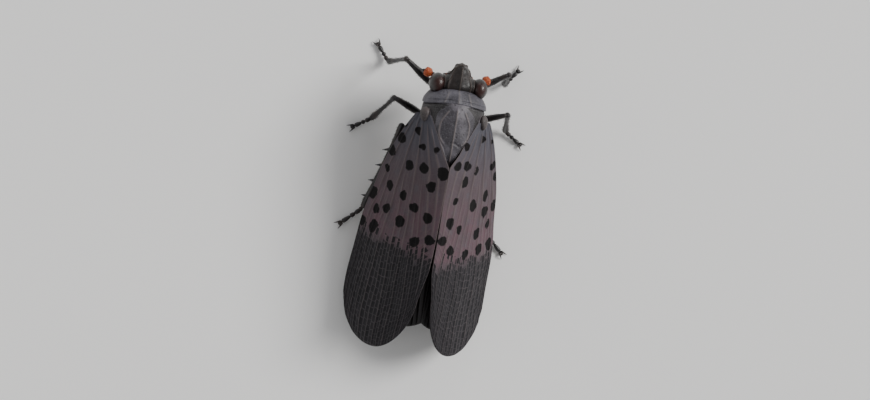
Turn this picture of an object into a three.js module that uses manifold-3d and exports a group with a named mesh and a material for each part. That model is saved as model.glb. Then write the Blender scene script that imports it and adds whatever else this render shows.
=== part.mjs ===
// An adult spotted lanternfly at rest with its wings folded like a roof, as a life-size display model.
// Units are millimetres. +Z is up, the head faces -Y and the insect's left side is +X.
// The body and wings are built level, about the body's long axis, and then pitched up at the front.
import * as THREE from 'three';
import Module from 'manifold-3d';
import { ParametricGeometry } from 'three/addons/geometries/ParametricGeometry.js';
import { mergeVertices } from 'three/addons/utils/BufferGeometryUtils.js';

const wasm = await Module();
wasm.setup();

// Stance
const CLEARANCE = 0.3; // gap that parts neighbouring pieces
const BODY_PITCH = 9; // degrees by which the fore-body is raised
const AXIS_HEIGHT = 5.65; // body axis above the floor at the body frame's origin

// Head
const HEAD_CENTRE = new THREE.Vector3(0, -10.7, -0.1);
const EYE_CENTRE = new THREE.Vector3(1.86, -10.55, 0.42);
const EYE_RADII = new THREE.Vector3(0.74, 0.92, 1.04);
const ANTENNA_ROOT = new THREE.Vector3(1.45, -10.85, -1.08);
const ANTENNA_AIM = new THREE.Vector3(0.9, -0.28, 0.02).normalize();
const ANTENNA_LENGTHS = { scape: 0.95, pedicel: 1.62, bristle: 2.6 }; // ends, measured from the root
const BRISTLE_RISE = new THREE.Vector3(0, 0.05, 0.4); // how the feeler's bristle bends off its line
const FRONS_RIDGE_TOP = new THREE.Vector3(0.5, -12.05, 0.95);
const FRONS_RIDGE_FOOT = new THREE.Vector3(0.81, -11.35, -1.9);
const CLYPEUS_TOP = new THREE.Vector3(0, -11.0, -2.2);
const CLYPEUS_FOOT = new THREE.Vector3(0, -10.35, -3.3);
const OCELLUS_CENTRE = new THREE.Vector3(1.05, -11.35, 0.15);
const OCELLUS_RADIUS = 0.2;

// Lobes that all hold the head's centre, so that each one has a single reach in every direction
const HEAD_LOBES = [
  { centre: [0, -10.6, 0.05], radii: [1.78, 1.02, 1.5] },
  { centre: [0, -10.95, -1.25], radii: [1.08, 0.66, 1.95] },
  { centre: [0, -11.3, 0.6], radii: [0.85, 1.3, 0.95] },
  { centre: [0, -10.7, -0.85], radii: [1.75, 0.74, 0.95] },
];
const LOBE_BLEND = 9;

// Beak, by the middle and radius of each joint
const ROSTRUM = [
  { at: new THREE.Vector3(0, -10.0, -3.78), radius: 0.27 },
  { at: new THREE.Vector3(0, -8.6, -3.4), radius: 0.29 },
  { at: new THREE.Vector3(0, -6.6, -3.1), radius: 0.28 },
  { at: new THREE.Vector3(0, -4.9, -3.02), radius: 0.25 },
];
const ROSTRUM_TIP_RADIUS = 0.12;

// Trunk
const COLLAR_FRONT = -9.95; // front margin of the prothorax at its sides
const COLLAR_REAR = -8.75;
const COLLAR_ARCH = 0.45; // how far its margins bow forward in the middle
const THORAX_REAR = -3.0;
const ABDOMEN_FRONT = THORAX_REAR + CLEARANCE;
const ABDOMEN_REAR = 7.7;
const ABDOMEN_RINGS = 7;
const RING_STEP = 0.12; // how far a ring's front margin steps in under the ring before it
const ABDOMEN_HALF = 2.62; // where the abdomen is widest
const ABDOMEN_ROOF = 1.85;
const ABDOMEN_KEEL = 1.95;
const COLLAR_KEEL = [new THREE.Vector3(0, -10.1, 1.55), new THREE.Vector3(0, -9.3, 2.22)];
const SHIELD = [new THREE.Vector3(0, -8.1, 2.1), new THREE.Vector3(0, -3.9, 2.42)];
const TEGULA_CENTRE = new THREE.Vector3(2.65, -7.85, 1.4);
const TEGULA_RADII = new THREE.Vector3(0.78, 0.58, 0.8);
const STUB_LENGTH = 0.9; // the trunk's own stub that a leg starts from

const COLLAR_STATIONS = [
  { y: COLLAR_FRONT, half: 2.15, top: 1.5, keel: -1.75, boxy: 2.3, roof: 2.3 },
  { y: -9.5, half: 2.55, top: 1.98, keel: -2.05, boxy: 2.3, roof: 2.1 },
  { y: -9.1, half: 2.78, top: 2.25, keel: -2.15, boxy: 2.3, roof: 2.0 },
  { y: COLLAR_REAR, half: 2.85, top: 2.36, keel: -2.15, boxy: 2.3, roof: 1.9 },
];

const THORAX_STATIONS = [
  { y: COLLAR_REAR + CLEARANCE, half: 2.75, top: 2.42, keel: -2.25, boxy: 2.3, roof: 1.85 },
  { y: -7.4, half: 2.85, top: 2.62, keel: -2.4, boxy: 2.3, roof: 1.7 },
  { y: -5.6, half: 2.75, top: 2.66, keel: -2.45, boxy: 2.3, roof: 1.6 },
  { y: -4.3, half: 2.5, top: 2.5, keel: -2.35, boxy: 2.3, roof: 1.55 },
  { y: THORAX_REAR, half: 1.9, top: 1.5, keel: -2.1, boxy: 2.2, roof: 1.8 },
];

// Forewing, first as a flat outline: a runs from the base to the tip, b from the rear margin to the costa
const WING_THICKNESS = 0.5;
const WING_BASE_Y = -7.8;
const WING_BASE_NEAR = 2.3;
const WING_BASE_WIDTH = 1.6;
const TIP_CENTRE_A = 15.9;
const TIP_CENTRE_B = 3.6;
const TIP_RADIUS_A = 5.3;
const TIP_RADIUS_REAR = 3.55; // across the wing, towards the rear margin
const TIP_RADIUS_COSTA = 5.3; // and towards the costa
const WING_LENGTH = TIP_CENTRE_A + TIP_RADIUS_A;
const TIP_FROM = -68; // degrees round the tip's ellipse where the rear margin ends
const TIP_TO = 68; // and where the costa ends
const SCUTELLUM_REACH = 4.2; // the rear margins meet behind the scutellum at this a
const LEAVING_ANGLES = [-27, 38]; // degrees at which the rear margin and the costa leave the base
const LEAVING_HANDLE = 5.2;
const ARRIVING_ANGLES = [7, -14]; // and at which they reach the tip's ellipse
const ARRIVING_HANDLE = 6.0;

// The roof that the wings fold to
const RIDGE_HEIGHT = 3.35; // above the body axis
const RIDGE_HALF_GAP = 0.3;
const RIDGE_LIP = 0.36; // how far a wing's upper edge reaches over the ridge's gap
const RIDGE_SLOPE = 36; // degrees below level at the ridge
const COSTA_SLOPE = 63; // degrees at ROOF_SPAN down the roof
const ROOF_SPAN = 9;
const TIP_DROOP = 0.35;
const DROOP_FROM = 13;
const DROOP_SPAN = 8;
const PARTING_FROM = 8; // the wings meet up to this a, and part behind it
const PARTING_LEFT = 0.8; // how far each wing's tip stands out from the ridge
const PARTING_RIGHT = 0.25;

// Veins, each with its place across the wing at equal steps from base to tip, and where it stands proud
const VEIN_RISE = 0.2;
const VEIN_HALF_WIDTH = 0.22;
const VEINS = [
  { across: [0.13, 0.1, 0.06, 0.04, 0.03], from: 0.05, to: 0.6 },
  { across: [0.26, 0.22, 0.15, 0.09, 0.07], from: 0.03, to: 0.82 },
  { across: [0.41, 0.38, 0.31, 0.26, 0.22], from: 0.42, to: 1 },
  { across: [0.45, 0.43, 0.4, 0.38, 0.36], from: 0.03, to: 1 },
  { across: [0.6, 0.59, 0.54, 0.51, 0.49], from: 0.3, to: 1 },
  { across: [0.64, 0.65, 0.66, 0.66, 0.64], from: 0.03, to: 1 },
  { across: [0.83, 0.83, 0.8, 0.79, 0.78], from: 0.34, to: 1 },
  { across: [0.87, 0.88, 0.9, 0.91, 0.91], from: 0.03, to: 1 },
];
const VEIN_EASE = 0.06; // share of the wing's length over which a vein rises or sinks
const CROSS_VEINS = [0.61, 0.71, 0.8, 0.89];
const CROSS_VEIN_HALF = 0.011;
const WING_STEPS = 16;

// Hindwing, folded under the forewing
const HINDWING_DEPTH = -(WING_THICKNESS + 0.35);
const HINDWING_FROM_A = 3.5;
const HINDWING_TO_A = 18.9;
const HINDWING_PLEATS = 4;
const PLEAT_HEIGHT = 0.12;
const HINDWING_STEPS = 18;

// Legs, with the hip in the body frame and the other joints above the floor
const LEGS = {
  front: {
    hip: [1.15, -9.45, -2.3],
    aim: [0.35, -0.25, -0.9],
    coxa: 0.7,
    knee: [4.6, -12.1, 5.9],
    ankle: [5.5, -11.9, 0.5],
    toe: [6.5, -13.2],
    girth: 0.92,
    spurs: 0,
  },
  middle: {
    hip: [1.5, -6.9, -2.45],
    aim: [0.45, -0.15, -0.85],
    coxa: 0.7,
    knee: [5.1, -8.6, 5.5],
    ankle: [6.1, -7.0, 0.5],
    toe: [7.5, -6.1],
    girth: 0.95,
    spurs: 0,
  },
  hind: {
    hip: [1.55, -4.2, -2.35],
    aim: [0.6, -0.25, -0.75],
    coxa: 0.6,
    knee: [3.95, -6.25, 4.25],
    ankle: [5.65, 1.7, 0.55],
    toe: [7.3, 3.2],
    girth: 1,
    spurs: 4,
  },
};

const TOE_HEIGHT = 0.18; // low enough that the pad and last joint are cut flat by the floor
const PAD_RADII = new THREE.Vector3(0.26, 0.26, 0.22);
const PAD_REACH = 0.12;
const CLAW_SPREAD = 32; // degrees to either side of the foot's heading
const CLAW_REACH = 0.62;
const SPUR_AIM = new THREE.Vector3(0.8, -0.1, -0.25).normalize();
const SPUR_REACH = 0.72;

// Small turns that keep the left and right feet from matching exactly
const FOOT_SHIFT = {
  left: { front: [0, 0], middle: [0.15, 0.35], hind: [0.2, -0.25] },
  right: { front: [-0.2, 0.45], middle: [-0.1, -0.3], hind: [-0.1, 0.35] },
};

// Turned pieces, as pairs of a share of the length and a radius there
const PROFILES = {
  fronsRidge: [[0, 0.1], [0.1, 0.17], [0.9, 0.16], [1, 0.08]],
  clypeus: [[0, 0.5], [0.5, 0.52], [1, 0.34]],
  scape: [[0, 0.28], [1, 0.25]],
  pedicel: [[0, 0.2], [0.25, 0.38], [0.6, 0.42], [0.9, 0.3], [1, 0.12]],
  bristle: [[0, 0.25], [0.3, 0.17], [1, 0.05]],
  collarKeel: [[0, 0.12], [1, 0.14]],
  shield: [[0, 0.7], [0.25, 1.25], [0.6, 0.75], [0.9, 0.22], [1, 0.08]],
  stub: [[0, 0.46], [1, 0.48]],
  coxa: [[0, 0.48], [0.7, 0.46], [1, 0.3]],
  femur: [[0, 0.28], [0.12, 0.38], [0.45, 0.5], [0.85, 0.38], [0.97, 0.36], [1, 0.22]],
  tibia: [[0, 0.22], [0.06, 0.34], [0.25, 0.3], [0.75, 0.29], [0.96, 0.35], [1, 0.22]],
  tarsus: [[0, 0.22], [0.26, 0.28], [0.32, 0.24], [0.56, 0.28], [0.62, 0.24], [0.92, 0.28], [1, 0.2]],
  claw: [[0, 0.15], [1, 0.04]],
  spur: [[0, 0.2], [1, 0.05]],
};

const radians = THREE.MathUtils.degToRad;
const smooth = THREE.MathUtils.smoothstep;
const lerp = THREE.MathUtils.lerp;

// Finishes
function finish(colour, roughness) {
  return new THREE.MeshStandardMaterial({ color: colour, roughness, metalness: 0 });
}

const FINISHES = {
  wing: finish(0x6b5e61, 0.55),
  hindwing: finish(0xb3272a, 0.5),
  shell: finish(0x4d474d, 0.5),
  head: finish(0x2b2525, 0.45),
  eye: finish(0x3a1512, 0.2),
  antenna: finish(0xd9661c, 0.45),
  leg: finish(0x17151a, 0.4),
  abdomen: finish(0xc9a227, 0.45),
};

// Solids

// The closed surface of a geometry as a solid, once its seams are welded and its faces point out.
function solidOf(geometry) {
  const bare = geometry.clone();
  bare.deleteAttribute('normal');
  bare.deleteAttribute('uv');
  const welded = mergeVertices(bare);
  const index = welded.index.array;
  const kept = [];
  for (let i = 0; i < index.length; i += 3) {
    const [a, b, c] = index.subarray(i, i + 3);
    if (a !== b && b !== c && c !== a) kept.push([a, b, c]);
  }
  const vertProperties = new Float32Array(welded.attributes.position.array);
  const build = (faces) =>
    new wasm.Manifold(
      new wasm.Mesh({ numProp: 3, vertProperties, triVerts: new Uint32Array(faces.flat()) }),
    );
  const made = build(kept);
  return made.volume() > 0 ? made : build(kept.map(([a, b, c]) => [a, c, b]));
}

// The biggest closed surface of a solid, which drops loose scraps and sealed hollows.
function largest(solid) {
  const pieces = solid.decompose();
  return pieces.reduce((best, piece) => (piece.volume() > best.volume() ? piece : best));
}

function join(pieces) {
  return largest(pieces.reduce((whole, piece) => whole.add(piece)));
}

function carve(solid, cutters) {
  return largest(cutters.reduce((left, cutter) => left.subtract(cutter), solid));
}

function geometryOf(solid) {
  const mesh = solid.getMesh();
  const geometry = new THREE.BufferGeometry();
  const points = new Float32Array(mesh.numVert * 3);
  for (let i = 0; i < mesh.numVert; i += 1) {
    points.set(mesh.vertProperties.subarray(i * mesh.numProp, i * mesh.numProp + 3), i * 3);
  }
  geometry.setAttribute('position', new THREE.BufferAttribute(points, 3));
  geometry.setIndex(new THREE.BufferAttribute(new Uint32Array(mesh.triVerts), 1));
  geometry.computeVertexNormals();
  return geometry;
}

function named(name, solid, material) {
  const mesh = new THREE.Mesh(geometryOf(solid), material);
  mesh.name = name;
  return mesh;
}

// A ball squashed to three radii.
function ellipsoid(centre, radii, around = 16, down = 10) {
  const geometry = new THREE.SphereGeometry(1, around, down);
  geometry.scale(radii.x, radii.y, radii.z);
  geometry.translate(centre.x, centre.y, centre.z);
  return geometry;
}

// A closed surface that wraps round in its first parameter, with its ends closed at poles.
function wrapped(pointAt, around, along) {
  const place = (u, v, target) => target.copy(pointAt(u === 1 ? 0 : u, v));
  return new ParametricGeometry(place, around, along);
}

function scaled(profile, girth) {
  return profile.map(([share, radius]) => [share, radius * girth]);
}

// A piece turned from a profile and laid from one point to another.
function limb(from, to, profile, { flatness = 1, sides = 7 } = {}) {
  const axis = new THREE.Vector3().subVectors(to, from);
  const length = axis.length();
  const outline = profile.map(([share, radius]) => new THREE.Vector2(radius, share * length));
  const closed = [new THREE.Vector2(0, outline[0].y), ...outline, new THREE.Vector2(0, outline.at(-1).y)];
  const geometry = new THREE.LatheGeometry(closed, sides);
  geometry.scale(1, 1, flatness);
  const turn = new THREE.Quaternion().setFromUnitVectors(new THREE.Vector3(0, 1, 0), axis.normalize());
  geometry.applyQuaternion(turn);
  geometry.translate(from.x, from.y, from.z);
  return geometry;
}

function mirrored(geometry, side) {
  const copy = geometry.clone();
  if (side < 0) copy.scale(-1, 1, 1);
  return copy;
}

const SIDES = { left: 1, right: -1 };

// Body frame to floor frame
const bodyFrame = new THREE.Matrix4()
  .makeTranslation(0, 0, AXIS_HEIGHT)
  .multiply(new THREE.Matrix4().makeRotationX(radians(-BODY_PITCH)));

// Head

// Distance from the head's centre to its surface: a soft maximum of the lobes' reaches.
function headReach(direction) {
  const total = HEAD_LOBES.reduce((sum, { centre, radii }) => {
    const offset = new THREE.Vector3(...centre).sub(HEAD_CENTRE);
    const scale = new THREE.Vector3(1 / radii[0], 1 / radii[1], 1 / radii[2]);
    const ray = direction.clone().multiply(scale);
    const back = offset.multiply(scale);
    const along = ray.dot(back);
    const square = ray.lengthSq();
    const reach = (along + Math.sqrt(along * along - square * (back.lengthSq() - 1))) / square;
    return sum + reach ** LOBE_BLEND;
  }, 0);
  return total ** (1 / LOBE_BLEND);
}

// The head's surface, grown by a margin. Its poles are at the sides, under the eyes.
function headShape(margin, around = 24, along = 18) {
  return wrapped((u, v) => {
    const turn = u * 2 * Math.PI;
    const tilt = v * Math.PI;
    const ring = Math.sin(tilt);
    const direction = new THREE.Vector3(Math.cos(tilt), ring * Math.sin(turn), ring * Math.cos(turn));
    if (v === 0 || v === 1) direction.set(v === 0 ? 1 : -1, 0, 0);
    return direction.clone().multiplyScalar(headReach(direction) + margin).add(HEAD_CENTRE);
  }, around, along);
}

function eyeShape(margin, side) {
  const radii = EYE_RADII.clone().addScalar(margin);
  return mirrored(ellipsoid(EYE_CENTRE, radii, 16, 10), side);
}

function headSolid() {
  const ridge = limb(FRONS_RIDGE_TOP, FRONS_RIDGE_FOOT, PROFILES.fronsRidge, { sides: 6 });
  const ocellus = ellipsoid(OCELLUS_CENTRE, new THREE.Vector3().setScalar(OCELLUS_RADIUS), 8, 6);
  const clypeus = limb(CLYPEUS_TOP, CLYPEUS_FOOT, PROFILES.clypeus, { flatness: 0.9, sides: 12 });
  const paired = [ridge, ocellus].flatMap((piece) => [piece, mirrored(piece, -1)]);
  const whole = join([headShape(0), clypeus, ...paired].map(solidOf));
  return carve(whole, [1, -1].map((side) => solidOf(eyeShape(CLEARANCE, side))));
}

// A short scape, a swollen pedicel and a fine bristle.
function antennaSolid(side) {
  const at = (distance) => ANTENNA_ROOT.clone().addScaledVector(ANTENNA_AIM, distance);
  const lengths = ANTENNA_LENGTHS;
  const scape = limb(ANTENNA_ROOT, at(lengths.scape), PROFILES.scape);
  const pedicel = limb(at(lengths.scape - 0.25), at(lengths.pedicel), PROFILES.pedicel, { sides: 10 });
  const bristleTip = at(lengths.bristle).add(BRISTLE_RISE);
  const bristle = limb(at(lengths.pedicel - 0.22), bristleTip, PROFILES.bristle, { sides: 6 });
  const whole = join([scape, pedicel, bristle].map((piece) => solidOf(mirrored(piece, side))));
  return carve(whole, [solidOf(headShape(CLEARANCE))]);
}

// The beak lies back under the thorax between the legs.
function rostrumSolid() {
  const lengths = ROSTRUM.slice(1).map((end, i) => {
    const start = ROSTRUM[i];
    const last = i === ROSTRUM.length - 2;
    const tip = last ? ROSTRUM_TIP_RADIUS : end.radius * 0.9;
    const profile = [[0, start.radius * 0.9], [0.06, start.radius], [0.94, end.radius], [1, tip]];
    return solidOf(limb(start.at, end.at, profile));
  });
  return join(lengths);
}

// Trunk

// A ring of a trunk section: rounded boxes with their own roof and keel, given the turn round it.
function trunkPoint(turn, y, { half, top, keel, boxy = 2, roof = 2 }) {
  const sine = Math.sin(turn);
  const cosine = Math.cos(turn);
  const middle = (top + keel) / 2;
  const power = cosine > 0 ? 2 / roof : 2 / boxy;
  const x = half * Math.sign(sine) * Math.abs(sine) ** (2 / boxy);
  const height = Math.sign(cosine) * Math.abs(cosine) ** power * (top - keel) / 2;
  return new THREE.Vector3(x, y, middle + height);
}

// Sizes between listed stations, eased smoothly from one to the next.
function between(stations, y) {
  const last = stations.length - 1;
  let i = stations.findIndex((station) => station.y >= y);
  if (i < 0) i = last;
  i = Math.max(1, i);
  const from = stations[i - 1];
  const to = stations[i];
  const share = THREE.MathUtils.clamp((y - from.y) / (to.y - from.y), 0, 1);
  const sizes = {};
  for (const key of Object.keys(from)) sizes[key] = lerp(from[key], to[key], share);
  return sizes;
}

// A trunk section through its stations. Its ends close flat, and its margins bow forward by arch.
function trunkShape(stations, arch, around, levels) {
  return wrapped((u, v) => {
    const last = levels.length - 1;
    const step = Math.round(v * (last + 2)) - 1;
    const level = levels[THREE.MathUtils.clamp(step, 0, last)];
    const sizes = between(stations, level);
    const point = trunkPoint(u * 2 * Math.PI, level, sizes);
    const middle = (sizes.top + sizes.keel) / 2;
    if (step < 0 || step > last) point.set(0, level, middle);
    const across = point.x / sizes.half;
    const bow = arch * (1 - across * across) * smooth(point.z, middle - 0.5, sizes.top);
    point.y -= step < 0 || step > last ? arch * 0.3 : bow;
    return point;
  }, around, levels.length + 1);
}

function evenLevels(from, to, count) {
  return Array.from({ length: count }, (_, i) => lerp(from, to, i / (count - 1)));
}

// A short stub on the trunk that a leg starts from, ending at the hip.
function hipStub(leg, side) {
  const hip = new THREE.Vector3(...leg.hip);
  const aim = new THREE.Vector3(...leg.aim).normalize();
  const root = hip.clone().addScaledVector(aim, -STUB_LENGTH);
  return solidOf(mirrored(limb(root, hip, PROFILES.stub, { sides: 8 }), side));
}

function collarSolid() {
  const levels = evenLevels(COLLAR_FRONT, COLLAR_REAR, 5);
  const whole = join([
    solidOf(trunkShape(COLLAR_STATIONS, COLLAR_ARCH, 24, levels)),
    solidOf(limb(...COLLAR_KEEL, PROFILES.collarKeel, { sides: 6 })),
    hipStub(LEGS.front, 1),
    hipStub(LEGS.front, -1),
  ]);
  const eyes = [1, -1].map((side) => solidOf(eyeShape(CLEARANCE, side)));
  return carve(whole, [solidOf(headShape(CLEARANCE, 20, 14)), ...eyes]);
}

// The wing-bearing trunk, with its shield, the scales over the wing roots and the stubs of four legs.
function thoraxSolid() {
  const levels = evenLevels(COLLAR_REAR + CLEARANCE, THORAX_REAR, 9);
  const tegula = ellipsoid(TEGULA_CENTRE, TEGULA_RADII, 12, 8);
  const stubs = [1, -1].flatMap((side) => [hipStub(LEGS.middle, side), hipStub(LEGS.hind, side)]);
  return join([
    solidOf(trunkShape(THORAX_STATIONS, COLLAR_ARCH, 24, levels)),
    solidOf(limb(...SHIELD, PROFILES.shield, { flatness: 0.5, sides: 12 })),
    solidOf(tegula),
    solidOf(mirrored(tegula, -1)),
    ...stubs,
  ]);
}

// The abdomen swells and narrows, and each of its rings steps in under the one before.
function abdomenSolid() {
  const levels = [];
  for (let ring = 0; ring < ABDOMEN_RINGS; ring += 1) {
    const from = lerp(ABDOMEN_FRONT, ABDOMEN_REAR, ring / ABDOMEN_RINGS);
    const to = lerp(ABDOMEN_FRONT, ABDOMEN_REAR, (ring + 1) / ABDOMEN_RINGS);
    levels.push({ y: from + 0.02, inset: ring ? RING_STEP : 0 });
    levels.push({ y: lerp(from, to, 0.55), inset: 0 });
    levels.push({ y: to - 0.06, inset: 0 });
  }
  const last = levels.length - 1;
  const shape = wrapped((u, v) => {
    const step = Math.round(v * (last + 2)) - 1;
    const { y, inset } = levels[THREE.MathUtils.clamp(step, 0, last)];
    const share = (y - ABDOMEN_FRONT) / (ABDOMEN_REAR - ABDOMEN_FRONT);
    const swell = lerp(0.86, 1, smooth(share, 0, 0.25)) * (1 - 0.72 * smooth(share, 0.35, 1.15));
    const half = ABDOMEN_HALF * swell - inset;
    const sag = -0.35 - 0.25 * share;
    const top = sag + ABDOMEN_ROOF * swell - inset;
    const keel = sag - ABDOMEN_KEEL * swell + inset;
    const point = trunkPoint(u * 2 * Math.PI, y, { half, top, keel, boxy: 2.2, roof: 2 });
    if (step < 0 || step > last) point.set(0, y + (step > last ? 0.25 : 0), (top + keel) / 2);
    return point;
  }, 18, levels.length + 1);
  return solidOf(shape);
}

// Forewings

// The rear margin's distance from the ridge: open round the scutellum, on the ridge behind it,
// and leaving it again round the tip's ellipse.
function rearMargin(a) {
  const opening = WING_BASE_NEAR * Math.max(0, 1 - a / SCUTELLUM_REACH) ** 1.25;
  const back = (a - TIP_CENTRE_A) / TIP_RADIUS_A;
  const tip = back > 0 ? TIP_CENTRE_B - TIP_RADIUS_REAR * Math.sqrt(Math.max(0, 1 - back * back)) : 0;
  return opening + tip;
}

// A line from the wing's base to its tip at a share across, from the rear margin to the costa:
// a cubic that leaves the base fanned out and reaches the tip's ellipse nearly square.
function wingLine(s, t) {
  const start = new THREE.Vector2(0, WING_BASE_NEAR + WING_BASE_WIDTH * t);
  const around = radians(lerp(TIP_FROM, TIP_TO, t));
  const end = new THREE.Vector2(
    TIP_CENTRE_A + TIP_RADIUS_A * Math.cos(around),
    TIP_CENTRE_B + (around < 0 ? TIP_RADIUS_REAR : TIP_RADIUS_COSTA) * Math.sin(around),
  );
  const handle = (angles, reach) => {
    const angle = radians(lerp(...angles, t));
    return new THREE.Vector2(Math.cos(angle), Math.sin(angle)).multiplyScalar(reach);
  };
  const near = start.clone().add(handle(LEAVING_ANGLES, LEAVING_HANDLE));
  const far = end.clone().sub(handle(ARRIVING_ANGLES, ARRIVING_HANDLE));
  return new THREE.CubicBezierCurve(start, near, far, end).getPoint(s);
}

// The flat wing at a share along and a share across, with its rear edge drawn to the rear margin.
function wingPlan(s, t) {
  const point = wingLine(s, t);
  const edge = wingLine(s, 0);
  point.y += (rearMargin(edge.x) - edge.y) * (1 - t) ** 3;
  return point;
}

// Where a flat wing point lies on the roof: a goes along the body, and b is measured down the roof,
// whose slope grows steadily from the ridge. A depth stands off square to the roof.
function onRoof(a, b, depth) {
  const growth = radians(COSTA_SLOPE - RIDGE_SLOPE) / ROOF_SPAN;
  const first = radians(RIDGE_SLOPE);
  const slope = first + growth * b;
  const x = RIDGE_HALF_GAP + (Math.sin(slope) - Math.sin(first)) / growth;
  const drop = (Math.cos(slope) - Math.cos(first)) / growth;
  const droop = TIP_DROOP * Math.max(0, (a - DROOP_FROM) / DROOP_SPAN) ** 2;
  return new THREE.Vector3(
    x + depth * Math.sin(slope),
    WING_BASE_Y + a,
    RIDGE_HEIGHT + drop - droop + depth * Math.cos(slope),
  );
}

// A roof point of one side's wing, parted from the other towards its tip and mirrored for the right side.
function wingPoint(plan, depth, side) {
  const point = onRoof(plan.x, plan.y, depth);
  const share = Math.max(0, plan.x - PARTING_FROM) / (WING_LENGTH - PARTING_FROM);
  point.x += (side > 0 ? PARTING_LEFT : PARTING_RIGHT) * share ** 1.5;
  point.x *= side;
  return point;
}

function alongVein(across, s) {
  const at = s * (across.length - 1);
  const i = Math.min(across.length - 2, Math.floor(at));
  return lerp(across[i], across[i + 1], smooth(at - i, 0, 1) * 0.5 + (at - i) * 0.5);
}

function wingWidth(s) {
  return lerp(WING_BASE_WIDTH + 1, TIP_RADIUS_REAR + TIP_RADIUS_COSTA, smooth(s, -0.1, 0.7));
}

// The rows across the wing at s: the two margins, and each vein's crest with a foot on either side.
function wingRows(s) {
  const crests = VEINS.map(({ across }) => alongVein(across, s));
  const rows = [{ t: 0, rise: 0.5 }];
  crests.forEach((t, i) => {
    const before = i ? crests[i - 1] : 0;
    const after = i < crests.length - 1 ? crests[i + 1] : 1;
    const foot = Math.min(VEIN_HALF_WIDTH / wingWidth(s), 0.36 * (t - before), 0.36 * (after - t));
    const { from, to } = VEINS[i];
    const rise = smooth(s, from, from + VEIN_EASE) * (to < 1 ? 1 - smooth(s, to - VEIN_EASE, to) : 1);
    rows.push({ t: t - foot, rise: 0 }, { t, rise }, { t: t + foot, rise: 0 });
  });
  rows.push({ t: 1 - VEIN_HALF_WIDTH / wingWidth(s), rise: 0 }, { t: 1, rise: 1 });
  return rows;
}

// The columns along the wing, with three for each cross vein.
function wingColumns() {
  const even = Array.from({ length: WING_STEPS + 1 }, (_, i) => ({ s: i / WING_STEPS, cross: -1 }));
  const apart = (s) => CROSS_VEINS.every((at) => Math.abs(at - s) > 2 * CROSS_VEIN_HALF);
  const free = even.filter(({ s }) => s === 1 || apart(s));
  const crossing = CROSS_VEINS.flatMap((at, i) => [
    { s: at - CROSS_VEIN_HALF, cross: -1 },
    { s: at, cross: i },
    { s: at + CROSS_VEIN_HALF, cross: -1 },
  ]);
  return [...free, ...crossing].sort((one, other) => one.s - other.s);
}

// A closed sheet from a top and a bottom grid of points that share their diagonals, with a rim.
function sheetGeometry(top, bottom) {
  const columns = top.length;
  const rows = top[0].length;
  const points = [...top.flat(), ...bottom.flat()];
  const upper = (i, j) => i * rows + j;
  const lower = (i, j) => columns * rows + upper(i, j);
  const faces = [];
  const quad = (a, b, c, d) => faces.push(a, b, c, a, c, d);
  for (let i = 0; i < columns - 1; i += 1) {
    for (let j = 0; j < rows - 1; j += 1) {
      quad(upper(i, j), upper(i + 1, j), upper(i + 1, j + 1), upper(i, j + 1));
      faces.push(lower(i, j), lower(i + 1, j + 1), lower(i + 1, j));
      faces.push(lower(i, j), lower(i, j + 1), lower(i + 1, j + 1));
    }
    quad(upper(i, 0), lower(i, 0), lower(i + 1, 0), upper(i + 1, 0));
    quad(upper(i, rows - 1), upper(i + 1, rows - 1), lower(i + 1, rows - 1), lower(i, rows - 1));
  }
  const end = columns - 1;
  for (let j = 0; j < rows - 1; j += 1) {
    quad(upper(0, j), upper(0, j + 1), lower(0, j + 1), lower(0, j));
    quad(upper(end, j), lower(end, j), lower(end, j + 1), upper(end, j + 1));
  }
  const geometry = new THREE.BufferGeometry();
  const places = points.flatMap((point) => point.toArray());
  geometry.setAttribute('position', new THREE.Float32BufferAttribute(places, 3));
  geometry.setIndex(faces);
  return geometry;
}

function forewingSolid(side) {
  const half = WING_THICKNESS / 2;
  const top = [];
  const bottom = [];
  for (const { s, cross } of wingColumns()) {
    const fade = 1 - smooth(s, 0.94, 1);
    const crests = wingRows(s).map(({ t, rise }, j) => {
      const interval = Math.floor(j / 3);
      const crossed = cross >= 0 && interval > 1 && (interval + cross) % 2 === 0 && rise < 1;
      return { plan: wingPlan(s, t), rise: t === 1 ? 1 : (crossed ? 0.8 : rise) * fade };
    });
    bottom.push(crests.map(({ plan }) => wingPoint(plan, -half, side)));
    const upperEdge = crests[0].plan;
    upperEdge.y -= RIDGE_LIP * smooth(upperEdge.x, 3, 5) * (1 - smooth(upperEdge.x, 13, 16));
    top.push(crests.map(({ plan, rise }) => wingPoint(plan, half + VEIN_RISE * rise, side)));
  }
  return solidOf(sheetGeometry(top, bottom));
}

// The space that a forewing needs, with the clearance all round it.
function forewingRoom(side) {
  const COLUMNS = 14;
  const ROWS = 8;
  const reach = WING_THICKNESS / 2 + CLEARANCE;
  const grid = (depth) =>
    Array.from({ length: COLUMNS + 1 }, (_, i) =>
      Array.from({ length: ROWS + 1 }, (_, j) => {
        const plan = wingPlan(i / COLUMNS, j / ROWS);
        if (i === 0) plan.x -= CLEARANCE;
        if (j === 0) plan.y -= CLEARANCE;
        if (j === ROWS) plan.y += CLEARANCE;
        return wingPoint(plan, depth, side);
      }),
    );
  return solidOf(sheetGeometry(grid(reach + VEIN_RISE), grid(-reach)));
}

// Hindwings

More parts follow.
